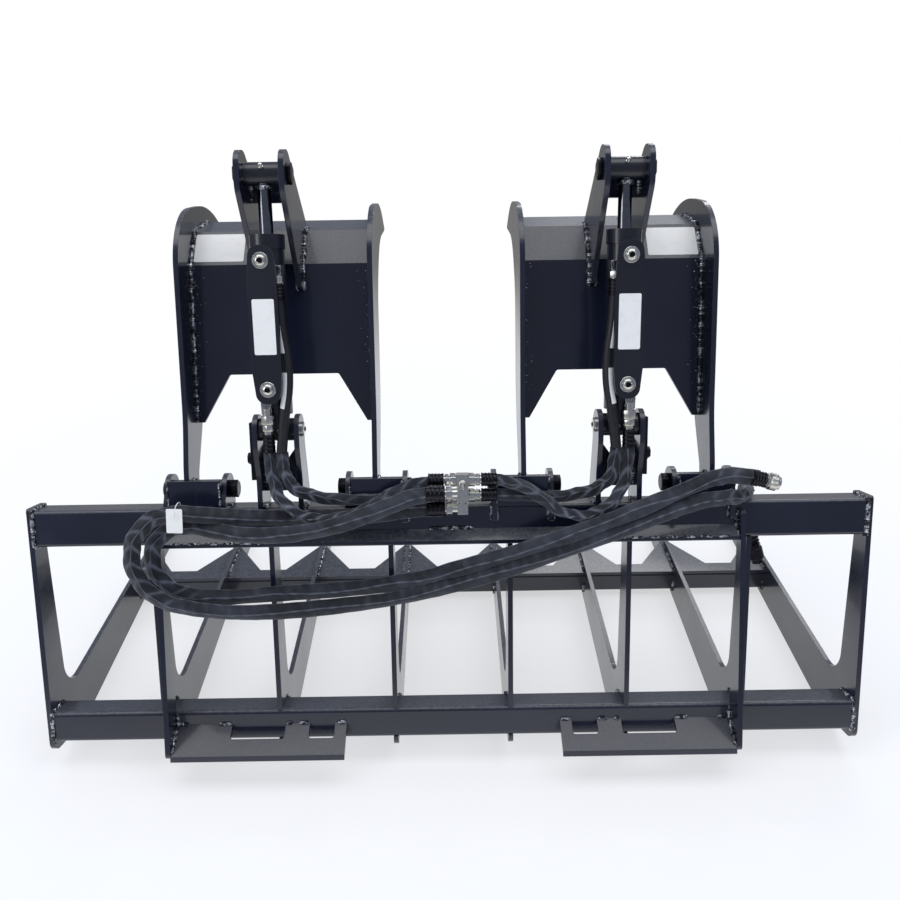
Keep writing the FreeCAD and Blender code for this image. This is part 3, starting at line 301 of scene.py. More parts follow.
# %% Painted weld metal
def weld_finish():
    """Black paint over a rippled bead: dark, with bright sparks where spatter and slag broke it."""
    made, tree = new_material("painted_weld_bead")
    where = add(tree, "ShaderNodeTexCoord").outputs["Object"]
    lumps = add(tree, "ShaderNodeTexVoronoi", {"Vector": where, "Scale": 1 / 0.0034})
    patchy = add(tree, "ShaderNodeTexNoise", {"Vector": where, "Scale": 1 / 0.009, "Detail": 3.0})
    broken = add(tree, "ShaderNodeMapRange", {0: patchy.outputs["Fac"], 1: 0.485, 2: 0.56, 3: 0.0, 4: 1.0})
    tone = add(tree, "ShaderNodeMix", {"Factor": broken.outputs[0], 6: colour("#0a0b12"), 7: colour("#c3c6ce")},
               data_type="RGBA")
    rough = add(tree, "ShaderNodeMapRange", {0: lumps.outputs["Distance"], 1: 0.0, 2: 0.8, 3: 0.12, 4: 0.42})
    bumps = add(tree, "ShaderNodeBump", {"Height": lumps.outputs["Distance"], "Strength": 0.9, "Distance": 0.0016})
    shader = add(tree, "ShaderNodeBsdfPrincipled", {
        "Base Color": tone.outputs[2], "Metallic": broken.outputs[0], "Roughness": rough.outputs[0],
        "Normal": bumps.outputs[0], "Coat Weight": 0.3, "Coat Roughness": 0.1})
    finish_material(tree, shader.outputs[0])
    return made


weld_metal = weld_finish()

# %% [markdown]
# Stickers on the real grapple carry print, which is left off: they are plain white vinyl here. The
# hose beside each cylinder has no sleeve, so it shows its black rubber with plain white bands.

# %% Vinyl and rubber
blank_vinyl, tree = new_material("blank_white_vinyl")
where = add(tree, "ShaderNodeTexCoord").outputs["Object"]
dirt = add(tree, "ShaderNodeTexNoise", {"Vector": where, "Scale": 1 / 0.02, "Detail": 4.0})
grey = add(tree, "ShaderNodeMapRange", {0: dirt.outputs["Fac"], 1: 0.5, 2: 0.8, 3: 0.0, 4: 0.25})
tone = add(tree, "ShaderNodeMix", {"Factor": grey.outputs[0], 6: colour("#f2efe6"), 7: colour("#c2bfb6")},
           data_type="RGBA")
shader = add(tree, "ShaderNodeBsdfPrincipled", {"Base Color": tone.outputs[2], "Roughness": 0.35})
finish_material(tree, shader.outputs[0])

black_rubber, tree = new_material("black_hose_rubber")
where = add(tree, "ShaderNodeTexCoord").outputs["Object"]
scuff = add(tree, "ShaderNodeTexNoise", {"Vector": where, "Scale": 1 / 0.012, "Detail": 4.0})
tone = add(tree, "ShaderNodeMix", {"Factor": scuff.outputs["Fac"], 6: colour("#101014"), 7: colour("#24252b")},
           data_type="RGBA")
rough = add(tree, "ShaderNodeMapRange", {0: scuff.outputs["Fac"], 1: 0.3, 2: 0.7, 3: 0.35, 4: 0.6})
wrapped = add(tree, "ShaderNodeBump", {"Height": scuff.outputs["Fac"], "Strength": 0.2, "Distance": 0.0005})
shader = add(tree, "ShaderNodeBsdfPrincipled", {"Base Color": tone.outputs[2], "Roughness": rough.outputs[0],
                                                "Normal": wrapped.outputs[0]})
finish_material(tree, shader.outputs[0])

# %% Give every CAD node its finish
ZINC_NODES = ("tee_fittings", "coupler_a")
DARK_NODES = ("hinge_pins", "base_pins", "coupler_b")
for name, thing in nodes.items():
    if name in ZINC_NODES or name.endswith(("guard_bolts", "port_fittings")):
        finish = bright_zinc
    elif name in DARK_NODES or name.endswith("rod_pin_ends"):
        finish = dark_steel
    elif name in ("left_rod", "right_rod"):
        finish = hard_chrome
    elif name.endswith(("_barrel", "_gland", "_guard", "_guard_posts")):
        finish = cylinder_enamel
    elif name == "loader_lips":
        finish = wiped_low_sheen_enamel    # the loader's plate rubs the dust off them, so they get less dust and less painted sheen
    else:
        finish = frame_enamel
    thing.data.materials.clear()
    thing.data.materials.append(finish)

# %% [markdown]
# Everything round or long that is added here is made in one of two ways. A turned part, such as a
# washer or a crimped collar, is half a profile spun about its axis. A drawn part, such as a hose
# sleeve or a weld bead, is one ring of points extruded again and again along its line. Both are
# how the real parts are made, and both keep the faces in tidy rows.


# %% Turned and drawn shapes
def turned(profile, steps=24):
    """Spins a profile of (radius, height) places about the upright axis."""
    bm = bmesh.new()
    verts = [bm.verts.new((radius, 0, height)) for radius, height in profile]
    edges = [bm.edges.new(pair) for pair in zip(verts, verts[1:])]
    bmesh.ops.spin(bm, geom=verts + edges, axis=(0, 0, 1), cent=(0, 0, 0), angle=2 * math.pi, steps=steps,
                   use_merge=True)
    bmesh.ops.remove_doubles(bm, verts=bm.verts, dist=1e-4)
    return bm


def drawn(rings, marks=False):
    """A tube through rings of places, each ring extruded from the one before; a sleeve also has
    marks: a map of its cloth, and the painted highlight and painted shade that each point gets from its folds."""
    bm = bmesh.new()
    if marks:
        bm.loops.layers.uv.new("sleeve")
        bm.verts.layers.float.new("fold_light_shade")
    count = len(rings[0])
    layers = [bmesh.ops.create_circle(bm, segments=count, radius=1)["verts"]]
    edges = list(bm.edges)
    for _ in rings[1:]:
        grown = bmesh.ops.extrude_edge_only(bm, edges=edges)["geom"]
        edges = [g for g in grown if isinstance(g, bmesh.types.BMEdge)
                 and all(v not in layers[-1] for v in g.verts)]
        layers.append([g for g in grown if isinstance(g, bmesh.types.BMVert)])
    for layer, ring in zip(layers, rings):
        for vert, place in zip(layer, ring):
            vert.co = place
    bmesh.ops.holes_fill(bm, edges=[e for e in bm.edges if e.is_boundary], sides=count)
    return bm, layers


def hexagon(across, thick, edge=0.9):
    """A hexagon bar end with its edges broken, as the heads of bolts and nuts are."""
    bm = bmesh.new()
    bmesh.ops.create_circle(bm, segments=6, radius=across / math.sqrt(3), cap_ends=True)
    top = bmesh.ops.extrude_face_region(bm, geom=list(bm.faces))["geom"]
    bmesh.ops.translate(bm, verts=[g for g in top if isinstance(g, bmesh.types.BMVert)], vec=(0, 0, thick))
    bmesh.ops.bevel(bm, geom=list(bm.edges), offset=edge, affect="EDGES", segments=2, profile=0.5, material=-1)
    return bm


def slab(width, height, corner, thick, steps=6):
    """A flat card with round corners, lying in the first two directions."""
    bm = bmesh.new()
    outline = []
    for i, (sx, sy) in enumerate(((1, 1), (-1, 1), (-1, -1), (1, -1))):
        for k in range(steps + 1):
            angle = math.pi / 2 * (i + k / steps)
            outline.append((sx * (width / 2 - corner) + corner * math.cos(angle),
                            sy * (height / 2 - corner) + corner * math.sin(angle), 0))
    face = bm.faces.new([bm.verts.new(p) for p in outline])
    top = bmesh.ops.extrude_face_region(bm, geom=[face])["geom"]
    bmesh.ops.translate(bm, verts=[g for g in top if isinstance(g, bmesh.types.BMVert)], vec=(0, 0, thick))
    return bm


def axis_at(place, along):
    """A matrix that stands a turned part at a place, with its axis along a direction."""
    return Matrix.Translation(place) @ Vector(along).to_track_quat("Z", "Y").to_matrix().to_4x4()


def gather(parts):
    """One mesh of several, each given with the matrix that sets it in place."""
    whole = bmesh.new()
    for part, place in parts:
        mesh = bpy.data.meshes.new("part")
        part.to_mesh(mesh)
        part.free()
        mesh.transform(place)
        whole.from_mesh(mesh)
        bpy.data.meshes.remove(mesh)
    return whole


def piece(name, bm, material, body, sharp=math.radians(35)):
    """Turns a mesh into a named piece that rides on a body and takes its finish from a slot."""
    bmesh.ops.recalc_face_normals(bm, faces=bm.faces)
    for face in bm.faces:
        face.smooth = True
    for edge in bm.edges:
        edge.smooth = edge.calc_face_angle(0) < sharp
    mesh = bpy.data.meshes.new(name)
    bm.to_mesh(mesh)
    bm.free()
    mesh.materials.append(material)
    made = bpy.data.objects.new(name, mesh)
    bpy.context.scene.collection.objects.link(made)
    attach(made, body)
    print(name, len(mesh.polygons), "faces")
    return made


# %% [markdown]
# Each hose is rubber with steel wire inside, and wears a woven nylon sleeve that keeps it from
# chafing. The sleeve is wider than the hose, so it lies flat, with a soft edge along each side and
# folds at the bends. The hose's route is a NURBS line through given points, and the
# sleeve is a flattened ring that is drawn from place to place along that line.

# %% Woven nylon sleeve
THREAD_MM = 2.6    # real threads are under 1 mm and would not show from here, so they are drawn coarser
sleeve_cloth, tree = new_material("woven_nylon_sleeve")
along = add(tree, "ShaderNodeUVMap", uv_map="sleeve")
scaled = add(tree, "ShaderNodeMapping", {"Vector": along.outputs[0],
                                         "Scale": (1 / (THREAD_MM * MM), 1 / (THREAD_MM * MM), 1)})
weave = add(tree, "ShaderNodeTexBrick", {"Vector": scaled.outputs[0], "Scale": 1.0, "Mortar Size": 0.18,
                                         "Brick Width": 1.0, "Row Height": 0.5, "Mortar Smooth": 0.8,
                                         "Color1": colour("#2f323b"), "Color2": colour("#1f222a"),
                                         "Mortar": colour("#0b0c0f")}, offset=0.5)
where = add(tree, "ShaderNodeTexCoord").outputs["Object"]
patch = add(tree, "ShaderNodeTexNoise", {"Vector": where, "Scale": 1 / 0.05, "Detail": 3.0})
worn = add(tree, "ShaderNodeMapRange", {0: patch.outputs["Fac"], 1: 0.45, 2: 0.75, 3: 0.0, 4: 0.35})
greyed = add(tree, "ShaderNodeMix", {"Factor": worn.outputs[0], 6: weave.outputs["Color"],
                                     7: colour("#565a66")}, data_type="RGBA")
height = add(tree, "ShaderNodeMath", {0: weave.outputs["Fac"], 1: -1.0}, operation="MULTIPLY")
woven = add(tree, "ShaderNodeBump", {"Height": height.outputs[0], "Strength": 0.5, "Distance": 0.0008})
# Painted light from the folds: below zero the mark paints shade, above zero it paints a highlight.
fold_light_shade = add(tree, "ShaderNodeAttribute", attribute_name="fold_light_shade").outputs["Fac"]
painted_fold_shade = add(tree, "ShaderNodeMath", {0: fold_light_shade, 1: -1.0}, operation="MULTIPLY", use_clamp=True)
shaded = add(tree, "ShaderNodeMix", {"Factor": painted_fold_shade.outputs[0], 6: greyed.outputs[2], 7: colour("#07080b")},
             data_type="RGBA")
painted_fold_highlight = add(tree, "ShaderNodeMath", {0: fold_light_shade, 1: 1.0}, operation="MULTIPLY", use_clamp=True)
with_painted_fold_highlight = add(tree, "ShaderNodeMix", {"Factor": painted_fold_highlight.outputs[0], 6: shaded.outputs[2], 7: colour("#a4aab6")},
            data_type="RGBA")
shader = add(tree, "ShaderNodeBsdfPrincipled", {
    "Base Color": with_painted_fold_highlight.outputs[2], "Roughness": 0.55, "Normal": woven.outputs[0],
    "Specular IOR Level": 0.35, "Sheen Weight": 0.3, "Sheen Roughness": 0.4})
finish_material(tree, shader.outputs[0])


# %% Follow a route
def smooth_route(name, points):
    """The places along a NURBS line with the given control points, read from a bare curve."""
    curve = bpy.data.curves.new(name, "CURVE")
    curve.dimensions = "3D"
    curve.resolution_u = 10
    spline = curve.splines.new("NURBS")
    spline.points.add(len(points) - 1)
    for knot, place in zip(spline.points, points):
        knot.co = (*place, 1)
    spline.order_u = 3
    spline.use_endpoint_u = True
    line = bpy.data.objects.new(name, curve)
    read = bpy.data.meshes.new_from_object(line)
    places = [v.co.copy() for v in read.vertices]
    bpy.data.objects.remove(line)
    bpy.data.curves.remove(curve)
    bpy.data.meshes.remove(read)
    return places


def even_steps(places, step):
    """The same line again in nearly equal steps, so that folds and threads keep their size."""
    total = sum((b - a).length for a, b in zip(places, places[1:]))
    count = max(2, round(total / step))
    target = [total * i / count for i in range(count + 1)]
    even = [places[0]]
    walked = 0
    for a, b in zip(places, places[1:]):
        span = (b - a).length
        while len(even) < count and walked + span >= target[len(even)]:
            even.append(a.lerp(b, (target[len(even)] - walked) / span))
        walked += span
    even.append(places[-1])
    return even, total


def frames_along(places):
    """For each place: how far along it is, its direction, and a flat direction towards the camera."""
    distance = 0
    for i, place in enumerate(places):
        before, after = places[max(i - 1, 0)], places[min(i + 1, len(places) - 1)]
        along = (after - before).normalized()
        flat = (to_rear - along * to_rear.dot(along)).normalized()
        distance += (place - before).length if i else 0
        yield place, distance, along, flat


# %% Draw a sleeve
SECTION_SIDES = 32
QUARTER = SECTION_SIDES // 4
STEP = 4 * MM
to_rear = (lean @ Vector((0, -1, 0))).normalized()


def flat_section(width, thickness, crease):
    """A sleeve pressed flat: two sharp edges, and a crease down each face, with rounded cheeks."""
    corners = [(width / 2, 0), (crease, thickness / 2), (-width / 2, 0), (-crease, -thickness / 2)]
    ring = []
    for k in range(SECTION_SIDES):
        (x0, y0), (x1, y1) = corners[k // QUARTER], corners[(k // QUARTER + 1) % 4]
        part = (1 - math.cos(math.pi * (k % QUARTER) / QUARTER)) / 2
        x, y = x0 + (x1 - x0) * part, y0 + (y1 - y0) * part
        puff = 1 + 0.16 * math.sin(math.pi * part)
        ring.append((x * puff, y * puff))
    return ring


def zigzag(value):
    """A wave with straight flanks from -1 to 1, as cloth has when it is pushed together."""
    return 4 * abs(value % 1 - 0.5) - 1


def sleeve(name, places, width, thickness, least, most, seed, slack=1.0):
    """A flat section drawn along the places, pushed together into sharp puckers where the hose
    bends, and closed at both ends. It stays between two distances from the hose's middle."""
    rng = random.Random(seed)
    waves = [(rng.uniform(0.03, 0.12), rng.uniform(0, 6.28)) for _ in range(5)]
    puckers = [(rng.uniform(0.016, 0.045), rng.uniform(0, 1), rng.uniform(-0.8, 0.8), rng.uniform(0, 6.28))
               for _ in range(4)]
    rings = []
    fold_light_shade_rows = []
    run = []
    frames = list(frames_along(places))
    for i, (place, distance, along, flat) in enumerate(frames):
        side = along.cross(flat)
        run.append(distance)
        bend = frames[max(i - 8, 0)][2].angle(frames[min(i + 8, len(frames) - 1)][2])
        crumple = slack * (0.16 + min(bend * 1.7, 1.3))
        roll = sum(math.sin(distance / length * 2 + start) for length, start in waves) * 0.09 * slack
        crease = sum(math.sin(distance / length + start * 2) for length, start in waves) * 0.05 * width
        turn = Matrix.Rotation(roll, 3, along)
        sway = side * (zigzag(distance / 0.052 + puckers[0][1]) * 0.0012 * min(crumple, 1.4))
        ring = []
        shade = []
        for k, (across, out) in enumerate(flat_section(width, thickness, crease)):
            angle = 2 * math.pi * k / SECTION_SIDES
            pucker = sum(zigzag(distance / length + start + lean_by * math.sin(angle + phase))
                         for length, start, lean_by, phase in puckers) / 2.6
            out *= 1 + 0.26 * crumple * pucker
            across *= 1 + 0.035 * crumple * pucker
            offset = sway + turn @ (side * across + flat * out)
            ring.append(place + offset * (min(max(offset.length, least), most) / offset.length))
            # Painted light on the cloth: a painted highlight along the edges and creases, and painted highlights and
            # painted shade across the puckers.
            off_crease = min(k % QUARTER, QUARTER - k % QUARTER)
            painted_crumple_light_shade = zigzag(distance / 0.034 + 0.9 * math.sin(angle + 2 * crease / width)) - 0.25
            shade.append((0.7, 0.28)[off_crease] * (0.7 + 0.5 * pucker) if off_crease < 2
                         else 0.6 * painted_crumple_light_shade * min(max(crumple - 0.4, 0), 1) + 0.05 * pucker)
        rings.append(ring)
        fold_light_shade_rows.append(shade)
    bm, layers = drawn(rings, marks=True)
    bmesh.ops.recalc_face_normals(bm, faces=bm.faces)
    uv = bm.loops.layers.uv["sleeve"]
    fold_light_shade_layer = bm.verts.layers.float["fold_light_shade"]
    index = {v: (i, k) for i, verts in enumerate(layers) for k, v in enumerate(verts)}
    around = math.pi * (width + thickness) / 2 / SECTION_SIDES
    for vert, (i, k) in index.items():
        vert[fold_light_shade_layer] = max(-1.0, min(1.0, fold_light_shade_rows[i][k])) * 0.75
    for face in bm.faces:
        face.smooth = len(face.verts) == 4
        if not face.smooth:
            continue
        wraps = {index[v][1] for v in face.verts} == {0, SECTION_SIDES - 1}
        for loop in face.loops:
            i, k = index[loop.vert]
            loop[uv].uv = (run[i], (SECTION_SIDES if wraps and k == 0 else k) * around)
    mesh = bpy.data.meshes.new(name)
    bm.to_mesh(mesh)
    bm.free()
    mesh.materials.append(sleeve_cloth)
    made = bpy.data.objects.new(name, mesh)
    bpy.context.scene.collection.objects.link(made)
    return made


# %% Routes of the hoses
HOSE = 20
PORT_X = 9
LOW_X = 14
HIGH_X = 24
PORT_Y = -46
LOW_END = 57 - 93
HIGH_END = 300 - 52
TEE_X = 25
TEE_HALF = 38
UPPER_TEE = (-30, FRAME_TOP + 57)
LOWER_TEE = (-27, FRAME_TOP + 26)
TEE_LEFT = TEE_X - TEE_HALF
TEE_RIGHT = TEE_X + TEE_HALF
LOOP_A = {
    "left": [(-318, -52, 530), (-262, -54, 498), (-178, -53, 507), (-114, -50, 548)],
    "right": [(318, -52, 530), (270, -54, 498), (212, -53, 506), (166, -50, 548)],
}
SUPPLY_A = [
    (TEE_LEFT, -58, 550), (-58, -58, 550), (-128, -77, 526), (-219, -79, 492), (-330, -74, 475),
    (-425, -66, 480), (-515, -54, 500), (-570, -58, 468), (-576, -58, 405), (-526, -56, 355),
    (-440, -46, 345), (-337, -32, 349), (-218, -27, 352), (-99, -27, 364), (20, -32, 395),
    (139, -58, 436), (259, -68, 478), (370, -64, 519), (453, -52, 552), (535, -42, 580),
    (592, -42, 566)]
SUPPLY_B = [
    (TEE_LEFT, -27, 513), (-72, -27, 515), (-140, -26, 502), (-226, -27, 500), (-330, -30, 500),
    (-431, -56, 511), (-554, -90, 532), (-611, -90, 453), (-575, -86, 358), (-460, -74, 326),
    (-337, -40, 313), (-219, -27, 319), (-100, -27, 333), (19, -32, 364), (139, -56, 406),
    (259, -62, 449), (371, -58, 490), (440, -52, 515), (498, -50, 530), (548, -44, 530),
    (586, -8, 528), (608, 50, 528), (616, 95, 527), (630, 140, 503), (644, 160, 452),
    (658, 160, 404)]


def lay_hose(node, points, diameter, width, thickness, seed, slack=1.0):
    """One sleeved hose along its route; it stands for the CAD tube of the same name."""
    places, total = even_steps(smooth_route(node, points), STEP)
    made = sleeve(node + "_sleeve", places, width * MM, thickness * MM, 0.38 * diameter * MM,
                  0.68 * diameter * MM, seed, slack)
    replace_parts(made, node)
    print(made.name, round(total, 3), "m")
    return made


def bare_hose(side, sign):
    """The round rubber hose beside a cylinder, with two plain white bands on the side that shows."""
    route = [on_cylinder(sign, -sign * x, PORT_Y, z) for x, z in (
        (HIGH_X, HIGH_END), (HIGH_X + 1, HIGH_END - 48), (34, 140), (33, 84), (LOW_X + 8, 34), (LOW_X, LOW_END))]
    places, total = even_steps(smooth_route(side + "_barrel_hose", route), STEP)
    rings = []
    for place, _, along, flat in frames_along(places):
        side_way = along.cross(flat)
        rings.append([place + (side_way * math.cos(2 * math.pi * k / 24) + flat * math.sin(2 * math.pi * k / 24))
                      * (HOSE * MM / 2) for k in range(24)])
    made = piece(side + "_barrel_hose_rubber", drawn(rings)[0], black_rubber, side + "_barrel")
    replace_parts(made, side + "_barrel_hose")
    bands = []
    count = len(places)
    for start, end in ((0.06, 0.36), (0.46, 0.72)):
        band = []
        for place, _, along, flat in list(frames_along(places))[int(start * count):int(end * count)]:
            side_way = along.cross(flat)
            ring = []
            for radius, angles in ((HOSE / 2 + 0.35, range(-3, 4)), (HOSE / 2 - 0.4, range(3, -4, -1))):
                for k in angles:
                    angle = math.pi / 2 + k * math.pi / 18 + sign * 0.5
                    ring.append(place + (side_way * math.cos(angle) + flat * math.sin(angle)) * (radius * MM))
            band.append(ring)
        bands.append((drawn(band)[0], Matrix()))
    piece(side + "_hose_bands", gather(bands), blank_vinyl, side + "_barrel")


for side, sign in SIDES:
    tee_end = TEE_LEFT if sign < 0 else TEE_RIGHT
    barrel_body = side + "_barrel"
    bare_hose(side, sign)
    route = [on_cylinder(sign, sign * PORT_X, PORT_Y, LOW_END),
             on_cylinder(sign, sign * PORT_X, PORT_Y, LOW_END - 54)]
    route += [leaned(*p) for p in LOOP_A[side]]
    route += [leaned(tee_end + sign * 44, *UPPER_TEE), leaned(tee_end, *UPPER_TEE)]
    first = lay_hose(side + "_hose_a", route, HOSE + 1, 24, 20, 12 + sign, slack=1.5)
    route = [on_cylinder(sign, -sign * LOW_X, PORT_Y, LOW_END),
             on_cylinder(sign, -sign * LOW_X, PORT_Y, LOW_END - 54)]
    route += [leaned(*p) for p in ((sign * 280, -32, 545), (sign * 200, -24, 531), (tee_end + sign * 88, -24, 537))]
    route += [leaned(tee_end + sign * 36, *LOWER_TEE), leaned(tee_end, *LOWER_TEE)]
    second = lay_hose(side + "_hose_b", route, HOSE + 1, 24, 20, 22 + sign, slack=1.5)
    for hose in (first, second):
        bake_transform(hose, "frame", barrel_body, start=leaned(sign * CYLINDER_X, PORT_Y, 545),
                 end=leaned(sign * CYLINDER_X, PORT_Y, 626))

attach(lay_hose("supply_hose_a", [leaned(*p) for p in SUPPLY_A], 26, 32, 21, 14, 0.8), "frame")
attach(lay_hose("supply_hose_b", [leaned(*p) for p in SUPPLY_B], 26, 32, 21, 15, 0.8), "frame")

# %% [markdown]
# The hose ends are steel. Each has a nut that screws to its port, and a collar that a press has
# crimped round the hose in a ring of flats. The nuts are bright zinc and the collars are black.

# %% Nuts and crimped collars of the hoses
CRIMPS = 4


def collar(length, radius):
    """A crimped collar: shallow grooves round it, and a lip at each end."""
    profile = [(radius * 0.6, 0), (radius * 0.92, 0), (radius, 1)]
    pitch = (length - 4) / CRIMPS
    for i in range(CRIMPS):
        low = 2 + i * pitch
        profile += [(radius, low), (radius * 0.92, low + pitch * 0.25), (radius * 0.92, low + pitch * 0.75),
                    (radius, low + pitch)]
    profile += [(radius, length - 1), (radius * 0.92, length), (radius * 0.6, length)]
    return turned(profile, 32)


DOWN = Vector((0, 0, -1))
for side, sign in SIDES:
    low_port = Vector((sign * PORT_X, PORT_Y, 35))
    high_port = Vector((-sign * HIGH_X, PORT_Y, 290))
    nuts = [(hexagon(22, 17), BESIDE[sign] @ axis_at(low_port, DOWN)),
            (hexagon(19, 12), BESIDE[sign] @ axis_at(low_port + DOWN * 18, DOWN)),
            (hexagon(21, 12), BESIDE[sign] @ axis_at(high_port, DOWN))]
    for port, nut_turn in ((57, 0), (300, 0)):
        x = sign * PORT_X if port == 57 else -sign * HIGH_X
        nuts.append((turned([(0, 0), (9, 0), (9.6, 1), (9.6, 3), (6, 4), (6, 8), (0, 8)]),
                     BESIDE[sign] @ axis_at(Vector((x, PORT_Y - 9, port)), (0, 1, 0))))
    piece(side + "_port_nuts", gather(nuts), bright_zinc, side + "_barrel")
    crimps = [(collar(34, 12), BESIDE[sign] @ axis_at(low_port + DOWN * 36, DOWN)),
              (collar(30, 12), BESIDE[sign] @ axis_at(high_port + DOWN * 13, DOWN))]
    piece(side + "_port_collars", gather(crimps), dark_steel, side + "_barrel")

tee_nuts = []
tee_collars = []
for forward, up in (UPPER_TEE, LOWER_TEE):
    for tee_end, sign in ((TEE_LEFT, -1), (TEE_RIGHT, 1)):
        tee_nuts.append((hexagon(24, 12), IN_FRAME @ axis_at(Vector((TEE_X + sign * 12, forward, up)), (sign, 0, 0))))
        tee_nuts.append((hexagon(21, 9), IN_FRAME @ axis_at(Vector((TEE_X + sign * 25, forward, up)), (sign, 0, 0))))
        tee_collars.append((collar(30, 13.6),
                            IN_FRAME @ axis_at(Vector((tee_end - sign * 2, forward, up)), (sign, 0, 0))))
for points in (SUPPLY_A, SUPPLY_B):
    start = Vector(points[0])
    tee_collars.append((collar(36, 15), IN_FRAME @ axis_at(start + Vector((4, 0, 0)), (-1, 0, 0))))
    tee_nuts.append((hexagon(24, 12), IN_FRAME @ axis_at(start + Vector((18, 0, 0)), (-1, 0, 0))))
piece("tee_nuts", gather(tee_nuts), bright_zinc, "frame")
piece("tee_collars", gather(tee_collars), dark_steel, "frame")

coupler_rings = {}
for label, points, length in (("a", SUPPLY_A, 40), ("b", SUPPLY_B, 70)):
    start = Vector(points[-1])
    along = (start - Vector(points[-2])).normalized()
    sleeve_low, sleeve_long = length * 0.49, length * 0.37
    profile = [(12, 0), (15.6, 0), (16.6, 1)]
    for i in range(5):
        low = 2 + i * (sleeve_long - 4) / 5
        profile += [(16.6, low), (16.0, low + 0.6), (16.6, low + 1.2)]
    profile += [(16.6, sleeve_long - 1), (15.6, sleeve_long), (12, sleeve_long)]
    rings = [(turned(profile, 36), IN_FRAME @ axis_at(start + along * sleeve_low, along)),
             (hexagon(27, length * 0.12), IN_FRAME @ axis_at(start + along * (length * 0.37), along))]
    piece("coupler_%s_locking_sleeve" % label, gather(rings), bright_zinc if label == "a" else dark_steel,
          "frame")
    piece("coupler_%s_collar" % label,
          gather([(collar(length * 0.3 + 14, 15), IN_FRAME @ axis_at(start - along * 14, along))]),
          dark_steel, "frame")

# %% [markdown]
# The pins are held by nuts and small bolts. A hexagon with its edges broken is enough for a nut,
# because at this distance it is read by its six flats. The guard's bolts have low round heads with
# a socket, on wide bright washers, and they replace the plain CAD ones.

# %% Nuts on the pins
NUT_ACROSS = 31.5
HINGE_REACH = 51 + PLATE
pin_nuts = []
for sign in (-1, 1):
    for x, way in ((sign * 500.5, -sign), (sign * 144, sign)):
        face = Vector((x + way * HINGE_REACH, HINGE.y, HINGE.z))
        pin_nuts.append((hexagon(NUT_ACROSS, 16.5), IN_FRAME @ axis_at(face, (way, 0, 0))))
        pin_nuts.append((turned([(0, 16), (9, 16), (12, 17.4), (12, 16), (12, 15)]), IN_FRAME @ axis_at(face, (way, 0, 0))))
piece("hinge_pin_nuts", gather(pin_nuts), dark_steel, "frame")

KEEPER_OUT = CYLINDER_X + 35 + PLATE + 0.2 + 8
base_bolts = []
base_caps = []
for sign in (-1, 1):
    out = Vector((sign, 0, 0))
    base_bolts.append((hexagon(20, 8), IN_FRAME @ axis_at(Vector((sign * KEEPER_OUT, 0, BASE_PIN.z - 56)), out)))
    base_bolts.append((turned([(0, 0), (15, 0), (15, 2), (9, 2.4), (0, 2.4)]),
                       IN_FRAME @ axis_at(Vector((sign * KEEPER_OUT, 0, BASE_PIN.z - 56)), out)))
    inner = Vector((sign * (CYLINDER_X - 35 - PLATE), 0, BASE_PIN.z))
    base_caps.append((turned([(0, 0), (14.5, 0), (14.5, 4.4), (13, 6), (6, 6.4), (3, 9), (0, 9.4)]),
                      IN_FRAME @ axis_at(inner, -out)))
piece("base_pin_keeper_bolts", gather(base_bolts), dark_steel, "frame")
piece("base_pin_caps", gather(base_caps), bright_zinc, "frame")

for side, sign in SIDES:
    rod_nuts = []
    for end in (-1, 1):
        face = Vector((sign * CYLINDER_X + end * (35 + PLATE + 0.1), ROD_PIN.y, ROD_PIN.z))
        rod_nuts.append((hexagon(35, 7.6), IN_FRAME @ axis_at(face, (end, 0, 0))))
    piece(side + "_rod_pin_nuts", gather(rod_nuts), dark_steel, side + "_claw")

# %% Guard bolts and grease nipples
ROD = 25
NIPPLE = [(0, 0), (4.5, 0), (4.5, 3), (3, 4), (3, 6), (4, 7.5), (3.4, 9.5), (1.5, 10.5), (0, 10.5)]
HEAD = [(0, 4.5), (4.6, 4.5), (5.0, 7.6), (5.8, 8.4), (8.2, 7.6), (10.2, 5.6), (10.8, 3.4), (10.8, 2.6), (0, 2.6)]
